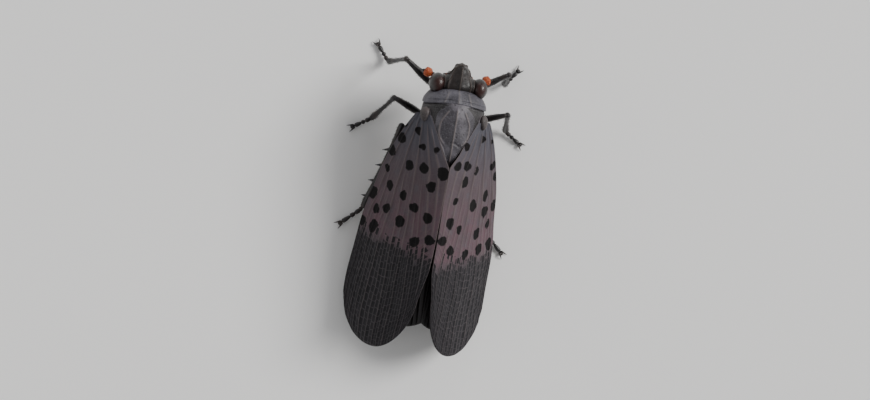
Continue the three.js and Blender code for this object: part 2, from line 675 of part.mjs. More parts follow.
// A pleated sheet that follows the forewing's inner face and narrows towards both ends.
function hindwingSolid(side) {
  const half = WING_THICKNESS / 2;
  const rows = HINDWING_PLEATS * 2 + 1;
  const top = [];
  const bottom = [];
  for (let i = 0; i <= HINDWING_STEPS; i += 1) {
    const s = i / HINDWING_STEPS;
    const near = 0.85 + 1.1 * (1 - smooth(s, 0, 0.25)) + 0.5 * smooth(s, 0.86, 1);
    const far = 3.9 + 3.1 * smooth(s, 0, 0.55) - 2.6 * smooth(s, 0.7, 1);
    const rounding = 0.8 * smooth(s, 0.8, 1);
    const crests = Array.from({ length: rows }, (_, j) => {
      const t = j / (rows - 1);
      const a = lerp(HINDWING_FROM_A, HINDWING_TO_A, s) - rounding * (2 * t - 1) ** 2;
      const valley = j % 2 ? PLEAT_HEIGHT * smooth(s, 0, 0.3) : 0;
      return { plan: new THREE.Vector2(a, lerp(near, far, t)), depth: HINDWING_DEPTH - valley };
    });
    top.push(crests.map(({ plan, depth }) => wingPoint(plan, depth + half, side)));
    bottom.push(crests.map(({ plan, depth }) => wingPoint(plan, depth - half, side)));
  }
  return solidOf(sheetGeometry(top, bottom));
}

// The space that a hindwing needs under the forewing.
function hindwingRoom(side) {
  const COLUMNS = 8;
  const reach = WING_THICKNESS / 2 + CLEARANCE;
  const grid = (depth) =>
    Array.from({ length: COLUMNS + 1 }, (_, i) =>
      [0.6, 2.5, 4.5, 7.4].map((b) => {
        const a = lerp(HINDWING_FROM_A - CLEARANCE, HINDWING_TO_A + CLEARANCE, i / COLUMNS);
        return wingPoint(new THREE.Vector2(a, b), depth, side);
      }),
    );
  return solidOf(sheetGeometry(grid(HINDWING_DEPTH + reach), grid(HINDWING_DEPTH - reach - PLEAT_HEIGHT)));
}

// Legs

function floorCutter() {
  const box = new THREE.BoxGeometry(60, 60, 4);
  box.translate(0, 0, -2);
  return solidOf(box);
}

// The foot's last piece: a pad and two claws.
function footPieces(toe, heading) {
  const pad = ellipsoid(toe.clone().addScaledVector(heading, PAD_REACH), PAD_RADII, 7, 5);
  const claws = [CLAW_SPREAD, -CLAW_SPREAD].map((turn) => {
    const along = heading.clone().applyAxisAngle(new THREE.Vector3(0, 0, 1), radians(turn));
    const tip = toe.clone().addScaledVector(along, CLAW_REACH).setZ(0.06);
    return limb(toe.clone().setZ(0.3), tip, PROFILES.claw, { sides: 5 });
  });
  return [pad, ...claws];
}

function spurPieces(knee, ankle, count) {
  return Array.from({ length: count }, (_, i) => {
    const root = knee.clone().lerp(ankle, 0.28 + 0.19 * i);
    const tip = root.clone().addScaledVector(SPUR_AIM, SPUR_REACH).lerp(ankle, 0.04);
    return limb(root, tip, PROFILES.spur, { sides: 4 });
  });
}

// A leg from its hip to its claws, in the floor frame.
function legSolid(leg, side, [shiftX, shiftY]) {
  const hip = new THREE.Vector3(...leg.hip).applyMatrix4(bodyFrame);
  const aim = new THREE.Vector3(...leg.aim).transformDirection(bodyFrame);
  const start = hip.clone().addScaledVector(aim, CLEARANCE);
  const trochanter = start.clone().addScaledVector(aim, leg.coxa);
  const knee = new THREE.Vector3(...leg.knee);
  const ankle = new THREE.Vector3(leg.ankle[0] + shiftX, leg.ankle[1] + shiftY, leg.ankle[2]);
  const toe = new THREE.Vector3(leg.toe[0] + shiftX, leg.toe[1] + shiftY, TOE_HEIGHT);
  const heading = new THREE.Vector3(toe.x - ankle.x, toe.y - ankle.y, 0).normalize();
  const thighRoot = trochanter.clone().addScaledVector(aim, -0.25);
  const shinTop = knee.clone().lerp(ankle, -0.03);
  const pieces = [
    limb(start, trochanter, PROFILES.coxa, { sides: 8 }),
    limb(thighRoot, knee, scaled(PROFILES.femur, leg.girth), { flatness: 0.85 }),
    limb(shinTop, ankle, scaled(PROFILES.tibia, leg.girth)),
    limb(ankle, toe, PROFILES.tarsus, { sides: 6 }),
    ...footPieces(toe, heading),
    ...spurPieces(knee, ankle, leg.spurs),
  ];
  const whole = join(pieces.map((piece) => solidOf(mirrored(piece, side))));
  return carve(whole, [floorCutter()]);
}

// The insect
const body = new THREE.Group();
body.applyMatrix4(bodyFrame);

const forewingRooms = [forewingRoom(1), forewingRoom(-1)];
const hindwingRooms = [hindwingRoom(1), hindwingRoom(-1)];

body.add(named('head', headSolid(), FINISHES.head));
body.add(named('rostrum', rostrumSolid(), FINISHES.head));
body.add(named('pronotum', carve(collarSolid(), forewingRooms), FINISHES.shell));
body.add(named('thorax', carve(thoraxSolid(), [...forewingRooms, ...hindwingRooms]), FINISHES.shell));
body.add(named('abdomen', carve(abdomenSolid(), hindwingRooms), FINISHES.abdomen));
for (const [sideName, side] of Object.entries(SIDES)) {
  body.add(named(`eye_${sideName}`, solidOf(eyeShape(0, side)), FINISHES.eye));
  body.add(named(`antenna_${sideName}`, antennaSolid(side), FINISHES.antenna));
  body.add(named(`forewing_${sideName}`, forewingSolid(side), FINISHES.wing));
  body.add(named(`hindwing_${sideName}`, hindwingSolid(side), FINISHES.hindwing));
}

const insect = new THREE.Group();
insect.add(body);
for (const [sideName, side] of Object.entries(SIDES)) {
  for (const [place, leg] of Object.entries(LEGS)) {
    const solid = legSolid(leg, side, FOOT_SHIFT[sideName][place]);
    insect.add(named(`leg_${place}_${sideName}`, solid, FINISHES.leg));
  }
}

// The origin is the middle of the box's floor.
insect.updateMatrixWorld(true);
const box = new THREE.Box3().setFromObject(insect, true);
insect.position.set(-(box.min.x + box.max.x) / 2, -(box.min.y + box.max.y) / 2, -box.min.z);

const spottedLanternfly = new THREE.Group();
spottedLanternfly.add(insect);
spottedLanternfly.updateMatrixWorld(true);

export default spottedLanternfly;
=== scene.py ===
"""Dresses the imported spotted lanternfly: shell plates, eyes, feelers, wings, abdomen and legs.

Sizes are millimetres, and metres in the setting. The trunk, head and wings are worked out level, about
the body's own long axis (the body frame), and pitched up at the front afterwards, while the feet stand
in the floor frame.
The head faces -Y, the insect's left side is +X, and a wing is first laid out flat, with a along it from
its base to its tip and b across it from the ridge between the wings to its outer edge.
"""

import logging
import math
from collections.abc import Callable, Sequence
from dataclasses import dataclass, field, replace
from enum import Enum
from typing import TypeVar

import bpy
import numpy as np
from mathutils import Matrix, Vector


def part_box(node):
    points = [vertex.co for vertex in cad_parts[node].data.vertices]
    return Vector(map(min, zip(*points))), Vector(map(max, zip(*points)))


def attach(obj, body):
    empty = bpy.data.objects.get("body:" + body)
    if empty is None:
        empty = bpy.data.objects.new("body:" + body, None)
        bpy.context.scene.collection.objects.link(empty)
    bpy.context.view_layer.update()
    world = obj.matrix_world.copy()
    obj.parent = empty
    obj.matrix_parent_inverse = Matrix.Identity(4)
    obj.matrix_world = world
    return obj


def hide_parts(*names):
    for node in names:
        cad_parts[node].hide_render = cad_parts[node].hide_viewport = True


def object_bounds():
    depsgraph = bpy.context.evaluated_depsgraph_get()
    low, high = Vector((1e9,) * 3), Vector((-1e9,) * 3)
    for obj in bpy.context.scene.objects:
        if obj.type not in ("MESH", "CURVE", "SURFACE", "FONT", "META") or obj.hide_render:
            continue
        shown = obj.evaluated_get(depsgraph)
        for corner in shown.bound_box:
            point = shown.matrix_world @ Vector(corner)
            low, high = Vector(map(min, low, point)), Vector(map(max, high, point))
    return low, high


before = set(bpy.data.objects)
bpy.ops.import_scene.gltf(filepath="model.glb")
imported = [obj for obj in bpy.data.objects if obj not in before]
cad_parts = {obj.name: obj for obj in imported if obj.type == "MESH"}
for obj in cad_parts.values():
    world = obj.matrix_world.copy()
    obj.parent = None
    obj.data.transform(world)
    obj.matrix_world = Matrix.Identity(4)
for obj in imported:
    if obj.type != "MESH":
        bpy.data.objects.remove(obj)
CAD_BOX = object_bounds()

MM = 0.001
IMAGE_SIZE = (870, 400)
PLAN_SCALE = 25.0  # millimetres of a flat wing that one unit of its UV map holds
NET_SLANT = 0.14  # how much nearer the forewing's base its net starts for each millimetre across
log = logging.getLogger("lanternfly")

T = TypeVar("T")
Array = np.ndarray
Colour = tuple[float, float, float]
Point = tuple[float, float, float]
Span = tuple[float, float]  # two numbers, most often from and to
Size = tuple[int, int]  # rows and columns of a grid
Line = Sequence[Span]  # places, each with the value there


class Side(Enum):
    """The insect's own left or right, by the sign of x there."""

    LEFT = 1
    RIGHT = -1

    @property
    def word(self) -> str:
        """The side as the end of a piece's name."""
        return self.name.lower()


class Pair(Enum):
    """Which pair of legs."""

    FRONT = "front"
    MIDDLE = "middle"
    HIND = "hind"


def either(left: T, right: T) -> dict[Side, T]:
    """A field with one value for the left side and one for the right."""
    return field(default_factory=lambda: {Side.LEFT: left, Side.RIGHT: right})


# Numbers


def smooth(value: Array | float, low: float, high: float) -> Array:
    """Rises from 0 at low to 1 at high with level ends: share squared times (3 - 2 share)."""
    share = np.clip((np.asarray(value, float) - low) / (high - low), 0, 1)
    return share * share * (3 - 2 * share)


def fall(value: Array | float, low: float, high: float) -> Array:
    """Goes smoothly from 1 at low to 0 at high."""
    return 1 - smooth(value, low, high)


def between(value: Array, rise: Span, drop: Span) -> Array:
    """Goes smoothly from 0 to 1 over the first span, and back to 0 over the second."""
    return smooth(value, *rise) * fall(value, *drop)


def mix(first: Array | float, second: Array | float, share: Array | float) -> Array:
    """Goes straight from the first value to the second as share goes from 0 to 1."""
    return first + (second - first) * share


def unit(vectors: Array) -> Array:
    """Vectors along the last axis, each divided by its length."""
    return vectors / np.maximum(np.linalg.norm(vectors, axis=-1, keepdims=True), 1e-12)


def hump(distance: Array, width: float) -> Array:
    """A rounded ridge: e to the minus square of distance over width."""
    return np.exp(-((distance / width) ** 2))


def grid(rows: int, columns: int, wrap: bool = False) -> tuple[Array, Array]:
    """Two parameters from 0 to 1 on a grid.

    Args:
        rows: Steps of the first parameter.
        columns: Steps of the second parameter.
        wrap: Whether the second parameter comes round to its start, and so leaves out 1.

    Returns:
        The two parameters, each rows by columns.
    """
    second = np.arange(columns) / (columns if wrap else columns - 1)
    return tuple(np.meshgrid(np.linspace(0, 1, rows), second, indexing="ij"))


def eased(at: Array, knots: Sequence[float], values: Sequence[float]) -> Array:
    """A smooth line through listed values: Hermite cubics whose slope at a knot is that of its neighbours.

    Args:
        at: Where the line is wanted.
        knots: Rising places of the listed values.
        values: The listed values.

    Returns:
        The line's values, held level outside the knots.
    """
    x, y = np.asarray(knots, float), np.asarray(values, float)
    slope = np.gradient(y, x)
    at = np.clip(at, x[0], x[-1])
    i = np.clip(np.searchsorted(x, at) - 1, 0, len(x) - 2)
    step = x[i + 1] - x[i]
    t = (at - x[i]) / step
    start = (1 + 2 * t) * (1 - t) ** 2 * y[i] + t * (1 - t) ** 2 * step * slope[i]
    return start + t * t * (3 - 2 * t) * y[i + 1] + t * t * (t - 1) * step * slope[i + 1]


def path_distance(points: Array, path: Array) -> Array:
    """How far each point is from a path of straight lengths: the least of its distances to the lengths.

    Args:
        points: Points along the last axis.
        path: The path's corners, k by 3.

    Returns:
        One distance a point.
    """
    start, along = path[:-1], np.diff(path, axis=0)
    offset = points[..., None, :] - start
    share = np.clip((offset * along).sum(-1) / (along * along).sum(-1), 0, 1)
    return np.linalg.norm(offset - share[..., None] * along, axis=-1).min(-1)


@dataclass(frozen=True)
class Stance:
    """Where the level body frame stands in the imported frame: pitched up, raised and shifted."""

    shift: Span
    pitch: float = math.radians(9)
    height: float = 5.65

    @classmethod
    def measured(cls, eye: Point) -> "Stance":
        """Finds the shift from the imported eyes, which stand at the same place on either side.

        Args:
            eye: The left eye's middle in the body frame.

        Returns:
            The stance.
        """
        corners = [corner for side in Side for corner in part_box(f"eye_{side.word}")]
        middle = np.mean([tuple(corner) for corner in corners], axis=0) / MM
        level = cls((0, 0)).body(np.array([0, eye[1], eye[2]]))
        return cls((middle[0], middle[1] - level[1]))

    def body(self, points: Array) -> Array:
        """Turns body-frame points about the X axis by the pitch, raises and shifts them.

        Args:
            points: Body-frame points.

        Returns:
            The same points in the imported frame.
        """
        cosine, sine = math.cos(self.pitch), math.sin(self.pitch)
        x, y, z = np.moveaxis(np.asarray(points, float), -1, 0)
        return self.floor(np.stack([x, y * cosine + z * sine, z * cosine - y * sine + self.height], -1))

    def floor(self, points: Array) -> Array:
        """Shifts points that are measured from the floor."""
        return np.asarray(points, float) + np.array([*self.shift, 0])

    def heading(self, vectors: Array) -> Array:
        """Turns body-frame directions by the pitch."""
        return self.body(vectors) - self.body(np.zeros(3))


# Closed surfaces


@dataclass
class Shell:
    """A closed surface: its points, its faces, and what its material reads at each point."""

    points: Array
    quads: Array
    triangles: Array = field(default_factory=lambda: np.zeros((0, 3), int))
    uv: dict[str, Array] = field(default_factory=dict)
    marks: dict[str, Array] = field(default_factory=dict)

    def corners(self) -> Array:
        """Every face as triangles of point numbers."""
        split = self.quads[:, [[0, 1, 2], [0, 2, 3]]].reshape(-1, 3)
        return np.concatenate([split, self.triangles])

    def outward(self) -> "Shell":
        """The shell with its faces pointing out: turned over if six times its volume comes out negative.

        Returns:
            The shell itself, or its turned copy.
        """
        a, b, c = np.moveaxis(self.points[self.corners()], 1, 0)
        if (np.cross(a, b) * c).sum() >= 0:
            return self
        return replace(self, quads=self.quads[:, ::-1], triangles=self.triangles[:, ::-1])

    def moved(self, place: Callable[[Array], Array]) -> "Shell":
        """The shell with its points carried to another place."""
        return replace(self, points=place(self.points)).outward()

    def on(self, side: Side) -> "Shell":
        """The shell on one side of the insect: its x is multiplied by the side's sign."""
        return self.moved(lambda points: points * np.array([side.value, 1, 1]))

    def marked(self, **marks: float) -> "Shell":
        """The shell with more marks, each the same all over it."""
        extra = {name: np.full(len(self.points), float(value)) for name, value in marks.items()}
        return replace(self, marks={**self.marks, **extra})


def joined(shells: Sequence[Shell]) -> Shell:
    """Shells side by side in one mesh, with zero for what one of them lacks.

    Args:
        shells: The shells.

    Returns:
        One shell that holds them all.
    """
    starts = np.cumsum([0] + [len(shell.points) for shell in shells[:-1]])

    def gathered(kind: str, width: tuple[int, ...]) -> dict[str, Array]:
        """One array a name, from the shells' UV maps or marks.

        Args:
            kind: Either uv or marks.
            width: The shape of one point's value.

        Returns:
            The arrays by name.
        """
        names = sorted({name for shell in shells for name in getattr(shell, kind)})
        blank = [np.zeros((len(shell.points), *width)) for shell in shells]
        return {
            name: np.concatenate([getattr(s, kind).get(name, none) for s, none in zip(shells, blank)])
            for name in names
        }

    return Shell(
        np.concatenate([shell.points for shell in shells]),
        np.concatenate([shell.quads + start for shell, start in zip(shells, starts)]),
        np.concatenate([shell.triangles + start for shell, start in zip(shells, starts)]),
        gathered("uv", (2,)),
        gathered("marks", ()),
    )


def round_shell(rings: Array, first: Array, last: Array, marks: dict[str, Array] | None = None) -> Shell:
    """Rings of points, each closed on itself, with a pole at either end.

    Args:
        rings: Rows by columns by 3.
        first: The pole before the first ring.
        last: The pole after the last ring.
        marks: Values on the rings, rows by columns; a pole takes the mean of its ring.

    Returns:
        The closed shell.
    """
    rows, columns, _ = rings.shape
    index = np.arange(rows * columns).reshape(rows, columns)
    onward = np.roll(index, -1, axis=1)
    quads = np.stack([index[:-1], onward[:-1], onward[1:], index[1:]], -1).reshape(-1, 4)
    near = np.stack([np.full(columns, rows * columns), onward[0], index[0]], -1)
    far = np.stack([np.full(columns, rows * columns + 1), index[-1], onward[-1]], -1)
    points = np.concatenate([rings.reshape(-1, 3), [first, last]])
    kept = {
        name: np.concatenate([value.ravel(), [value[0].mean(), value[-1].mean()]])
        for name, value in (marks or {}).items()
    }
    return Shell(points, quads, np.concatenate([near, far]), {}, kept).outward()


def slab(top: Array, bottom: Array, uv: dict[str, Array], marks: dict[str, Array]) -> Shell:
    """A closed sheet from a top and a bottom grid of points with a rim of faces between their edges.

    Args:
        top: Rows by columns by 3.
        bottom: The same for the under side.
        uv: UV maps of either face, rows by columns by 2.
        marks: Values on either face, rows by columns.

    Returns:
        The closed shell.
    """
    rows, columns, _ = top.shape
    upper = np.arange(rows * columns).reshape(rows, columns)
    lower = upper + rows * columns

    def cells(index: Array) -> Array:
        """The quads of a grid."""
        corners = [index[:-1, :-1], index[1:, :-1], index[1:, 1:], index[:-1, 1:]]
        return np.stack(corners, -1).reshape(-1, 4)

    def edge(index: Array) -> Array:
        """The grid's outer points in order round it."""
        return np.concatenate([index[:-1, 0], index[-1, :-1], index[:0:-1, -1], index[0, :0:-1]])

    high, low = edge(upper), edge(lower)
    rim = np.stack([high, low, np.roll(low, -1), np.roll(high, -1)], -1)
    quads = np.concatenate([cells(upper), cells(lower)[:, ::-1], rim])
    return Shell(
        np.concatenate([top.reshape(-1, 3), bottom.reshape(-1, 3)]),
        quads,
        uv={name: np.tile(value.reshape(-1, 2), (2, 1)) for name, value in uv.items()},
        marks={name: np.tile(value.ravel(), 2) for name, value in marks.items()},
    ).outward()


def capped(rings: Array, marks: dict[str, Array]) -> Shell:
    """Rings closed at either end by a pole at the mean of the end ring."""
    return round_shell(rings, rings[0].mean(0), rings[-1].mean(0), marks)


def globe(rows: int, columns: int) -> Array:
    """Directions from pole to pole, poles left out: (sin tilt cos turn, sin tilt sin turn, cos tilt).

    Args:
        rows: Rings from pole to pole.
        columns: Directions in a ring.

    Returns:
        Rows by columns by 3.
    """
    tilt, turn = grid(rows + 2, columns, wrap=True)
    tilt, turn = tilt[1:-1] * math.pi, turn[1:-1] * 2 * math.pi
    ring = np.sin(tilt)
    return np.stack([ring * np.cos(turn), ring * np.sin(turn), np.cos(tilt)], -1)


def ball(centre: Point, radii: Point, rows: int, columns: int) -> Shell:
    """An ellipsoid: its middle plus radii times a globe's directions."""
    middle, size, pole = np.array([centre, radii, (0, 0, radii[2])], float)
    return round_shell(middle + globe(rows, columns) * size, middle + pole, middle - pole)


@dataclass(frozen=True)
class Limb:
    """A length of leg, feeler or beak: a profile carried along a bowed line, domed at both ends.

    A point is at the line's place for its share s, start + (end - start) s + 4 s (1 - s) bow, plus its
    radius times (cos turn, flatness sin turn) on two axes square to the line.
    """

    start: Array | Point
    end: Array | Point
    profile: Line  # the radius at shares of the length
    bow: Point = (0, 0, 0)
    flatness: float = 1.0
    facets: float = 0.0  # how far the section is drawn towards a square
    rows: int = 28
    columns: int = 20

    def shell(self) -> Shell:
        """The limb as a closed shell whose mark along runs from 0 at its start to 1 at its end.

        Returns:
            The closed shell.
        """
        start, end, bow = (np.asarray(value, float) for value in (self.start, self.end, self.bow))
        share, turn = grid(self.rows, self.columns, wrap=True)
        share = 0.5 - 0.5 * np.cos(share[1:-1] * math.pi)
        turn = turn[1:-1] * 2 * math.pi
        length = np.linalg.norm(end - start)
        knots, radii = zip(*self.profile)
        radius = eased(share, knots, radii)
        for reach, edge in ((radii[0], share), (radii[-1], 1 - share)):
            dome = np.clip(edge * length / max(reach, 1e-6), 0, 1)
            radius = radius * np.sqrt(1 - (1 - dome) ** 2)
        radius = radius * (1 + self.facets * np.cos(4 * turn))
        middle = start + (end - start) * share[..., None] + bow * (4 * share * (1 - share))[..., None]
        tangent = unit((end - start) + bow * (4 - 8 * share)[..., None])
        reference = np.array([0, 1, 0] if abs(unit(end - start)[1]) < 0.8 else [0, 0, 1.0])
        across = unit(np.cross(tangent, reference))
        upward = np.cross(across, tangent)
        spoke = across * np.cos(turn)[..., None] + upward * (self.flatness * np.sin(turn))[..., None]
        return round_shell(middle + spoke * radius[..., None], start, end, {"along": share})


BRISTLE_SIDES = 4
BRISTLE_SHARES = (-0.12, 0.4, 0.75)  # where a hair has its rings; the first is under the skin
BRISTLE_REFERENCE = (0.31, 0.17, 0.93)  # a direction that no hair takes
BRISTLE_TAPER = 0.7


def bristles(roots: Array, aims: Array, lengths: Array, girth: float, droop: Array) -> Shell:
    """Fine hairs: four-sided cones that start just under the skin and bend as the square of the share.

    Args:
        roots: Where each starts, n by 3.
        aims: Which way each sets out, n by 3.
        lengths: How long each is.
        girth: Radius at the root.
        droop: How far each tip is carried aside, n by 3.

    Returns:
        All the hairs in one shell.
    """
    shares = np.array(BRISTLE_SHARES)
    aims = unit(aims)
    across = unit(np.cross(aims, np.array(BRISTLE_REFERENCE)))
    other = np.cross(aims, across)
    turn = np.arange(BRISTLE_SIDES) * 2 * math.pi / BRISTLE_SIDES
    spoke = across[:, None] * np.cos(turn)[:, None] + other[:, None] * np.sin(turn)[:, None]
    line = roots[:, None] + aims[:, None] * (shares[:, None] * lengths[:, None, None])
    line = line + droop[:, None] * (np.maximum(shares, 0)[:, None] ** 2)
    radius = girth * (1 - np.maximum(shares, 0)) ** BRISTLE_TAPER
    rings = line[:, :, None] + spoke[:, None] * radius[:, None, None]
    tips = roots + aims * lengths[:, None] + droop
    index = np.arange(rings[..., 0].size).reshape(rings.shape[:3])
    onward = np.roll(index, -1, axis=2)
    sides = np.stack([index[:, :-1], onward[:, :-1], onward[:, 1:], index[:, 1:]], -1).reshape(-1, 4)
    feet = index[:, 0, ::-1]
    peak = np.repeat(index.size + np.arange(len(roots))[:, None], BRISTLE_SIDES, axis=1)
    ends = np.stack([index[:, -1], onward[:, -1], peak], -1).reshape(-1, 3)
    points = np.concatenate([rings.reshape(-1, 3), tips])
    return Shell(points, np.concatenate([sides, feet]), ends).outward()


def surface_samples(shell: Shell, count: int, seed: int) -> tuple[Array, Array]:
    """Places spread over a shell by the area of its faces, with a seeded draw.

    Args:
        shell: The shell.
        count: How many places.
        seed: The draw's seed.

    Returns:
        The places and the outward directions there, each count by 3.
    """
    a, b, c = np.moveaxis(shell.points[shell.corners()], 1, 0)
    normal = np.cross(b - a, c - a)
    area = np.linalg.norm(normal, axis=-1)
    draw = np.random.default_rng(seed)
    chosen = draw.choice(len(area), count, p=area / area.sum())
    u, v = draw.random((2, count, 1))
    over = (u + v) > 1
    u, v = np.where(over, 1 - u, u), np.where(over, 1 - v, v)
    return a[chosen] + u * (b - a)[chosen] + v * (c - a)[chosen], unit(normal[chosen])


# Shader graphs


class Signal:
    """A shader socket that takes part in sums: each operator adds a Math node to its graph."""

    def __init__(self, graph: "Nodes", socket: bpy.types.NodeSocket) -> None:
        """Wraps a socket of a graph."""
        self.graph = graph
        self.socket = socket

    def _math(self, operation: str, *values: "Signal | float") -> "Signal":
        """A Math node of that operation on these values."""
        return self.graph.node("ShaderNodeMath", {"operation": operation}, dict(enumerate(values)))

    def __add__(self, other: "Signal | float") -> "Signal":
        """Sum."""
        return self._math("ADD", self, other)

    def __radd__(self, other: float) -> "Signal":
        """Sum with a number in front."""
        return self._math("ADD", other, self)

    def __sub__(self, other: "Signal | float") -> "Signal":
        """Difference."""
        return self._math("SUBTRACT", self, other)

    def __rsub__(self, other: float) -> "Signal":
        """Difference from a number."""
        return self._math("SUBTRACT", other, self)

    def __mul__(self, other: "Signal | float") -> "Signal":
        """Product."""
        return self._math("MULTIPLY", self, other)

    def __rmul__(self, other: float) -> "Signal":
        """Product with a number in front."""
        return self._math("MULTIPLY", other, self)

    def least(self, other: "Signal | float") -> "Signal":
        """The lesser of two values."""
        return self._math("MINIMUM", self, other)

    def whole(self) -> "Signal":
        """The whole number below."""
        return self._math("FLOOR", self)

    def off_whole(self) -> "Signal":
        """How far a value is from the nearest whole number, up to one half."""
        return self._math("PINGPONG", self, 0.5)

    def wave(self) -> "Signal":
        """Sine."""
        return self._math("SINE", self)

    def rising(self, low: float, high: float) -> "Signal":
        """Goes smoothly from 0 at low to 1 at high."""
        values = {"Value": self, "From Min": low, "From Max": high}
        return self.graph.node("ShaderNodeMapRange", {"interpolation_type": "SMOOTHSTEP"}, values)

    def falling(self, low: float, high: float) -> "Signal":
        """Goes smoothly from 1 at low to 0 at high."""
        return 1.0 - self.rising(low, high)


class Nodes:
    """A node tree, and the nodes that finishes and the surround are made of."""

    def __init__(self, tree: bpy.types.NodeTree) -> None:
        """Empties the tree."""
        self.tree = tree
        self.tree.nodes.clear()

    def node(
        self, kind: str, settings: dict | None = None, inputs: dict | None = None,
        output: str | int | None = 0,
    ) -> Signal | None:
        """Adds a node.

        Args:
            kind: The node's type.
            settings: Its properties, set first.
            inputs: Values or signals for its sockets, by name or number.
            output: The socket that is returned, or None for a node that ends the tree.

        Returns:
            That output as a signal, or nothing for a node that ends the tree.
        """
        made = self.tree.nodes.new(kind)
        for name, value in (settings or {}).items():
            setattr(made, name, value)
        for name, value in (inputs or {}).items():
            self.feed(made.inputs[name], value)
        return None if output is None else Signal(self, made.outputs[output])

    def feed(self, socket: bpy.types.NodeSocket, value: Signal | float | Sequence[float]) -> None:
        """Links a signal to a socket, or sets the socket's own value.

        Args:
            socket: An input.
            value: A signal, a number, or a colour of three numbers.
        """
        if isinstance(value, Signal):
            self.tree.links.new(value.socket, socket)
        elif socket.type == "RGBA" and not isinstance(value, float):
            socket.default_value = (*value, 1.0)[:4]
        else:
            socket.default_value = value

    def millimetres(self) -> Signal:
        """Object coordinates in millimetres."""
        place = self.node("ShaderNodeTexCoord", output="Object")
        return self.vector("SCALE", place, scale=1 / MM)

    def flat(self, name: str, scale: float = 1.0) -> Signal:
        """The piece's own UV map of that name, times a scale."""
        place = self.node("ShaderNodeUVMap", {"uv_map": name})
        return self.vector("SCALE", place, scale=scale)

    def mark(self, name: str) -> Signal:
        """The piece's own value of that name."""
        return self.node("ShaderNodeAttribute", {"attribute_name": name}, output="Fac")

    def vector(self, operation: str, *values: Signal | Point, scale: float | None = None) -> Signal:
        """A Vector Math node.

        Args:
            operation: Its operation.
            values: Its vectors in order.
            scale: The number of a SCALE.

        Returns:
            The new vector, or a number for DISTANCE.
        """
        inputs: dict = dict(enumerate(values))
        if scale is not None:
            inputs["Scale"] = scale
        output = "Value" if operation == "DISTANCE" else "Vector"
        return self.node("ShaderNodeVectorMath", {"operation": operation}, inputs, output)

    def part(self, vector: Signal, axis: str) -> Signal:
        """One of a vector's three numbers."""
        return self.node("ShaderNodeSeparateXYZ", inputs={0: vector}, output=axis)

    def together(self, x: Signal | float, y: Signal | float) -> Signal:
        """A vector from two numbers."""
        return self.node("ShaderNodeCombineXYZ", inputs={0: x, 1: y})

    def noise(self, vector: Signal, scale: float, detail: float = 3.0) -> Signal:
        """Cloudy noise about one half."""
        inputs = {"Vector": vector, "Scale": scale, "Detail": detail}
        return self.node("ShaderNodeTexNoise", inputs=inputs)

    def drift(self, vector: Signal, scale: float, reach: float) -> Signal:
        """A vector moved about by coloured noise, at most about half of reach each way.

        Args:
            vector: Where to look.
            scale: How fine the noise is.
            reach: How far it moves.

        Returns:
            The moved vector.
        """
        cloud = self.node("ShaderNodeTexNoise", inputs={"Vector": vector, "Scale": scale}, output="Color")
        centred = self.vector("SUBTRACT", cloud, (0.5, 0.5, 0.5))
        return self.vector("ADD", vector, self.vector("SCALE", centred, scale=reach))

    def chance(self, vector: Signal) -> Signal:
        """A number from 0 to 1 that is the same wherever the vector is the same."""
        return self.node("ShaderNodeTexWhiteNoise", {"noise_dimensions": "3D"}, {"Vector": vector}, "Value")

    def cells(self, vector: Signal, scale: float, jitter: float) -> Signal:
        """Distance from the middles in a pattern of cells, which jitter takes out of their rows."""
        inputs = {"Vector": vector, "Scale": scale, "Randomness": jitter}
        return self.node("ShaderNodeTexVoronoi", {"feature": "F1"}, inputs, "Distance")

    def layered(self, base: Signal | Colour, *layers: tuple[Signal | float, Signal | Colour]) -> Signal:
        """Colours laid one over another.

        Args:
            base: The lowest colour.
            layers: A share and a colour each, which covers those before it where its share is 1.

        Returns:
            The colour on top.
        """
        settings = {"data_type": "RGBA", "clamp_factor": True}
        for share, colour in layers:
            base = self.node("ShaderNodeMix", settings, {0: share, 6: base, 7: colour}, 2)
        return base

    def relief(self, height: Signal, depth: float) -> Signal:
        """A Bump node: height times depth in millimetres."""
        return self.node("ShaderNodeBump", inputs={"Height": height, "Distance": depth * MM, "Strength": 1.0})


class Graph(Nodes):
    """One material's nodes, round a Principled BSDF."""

    def __init__(self, name: str) -> None:
        """Starts an empty material of that name.

        Args:
            name: The material's name.
        """
        self.material = bpy.data.materials.new(name)
        self.material.use_nodes = True
        super().__init__(self.material.node_tree)
        shine = self.node("ShaderNodeBsdfPrincipled", output="BSDF")
        self.node("ShaderNodeOutputMaterial", inputs={"Surface": shine}, output=None)
        self.surface = shine.socket.node

    def finished(self, **sockets: Signal | float) -> bpy.types.Material:
        """Feeds the surface's sockets, whose names have _ for a space.

        Args:
            sockets: Values or signals by socket.

        Returns:
            The finished material.
        """
        for name, value in sockets.items():
            self.feed(self.surface.inputs[name.replace("_", " ")], value)
        return self.material


# Finishes


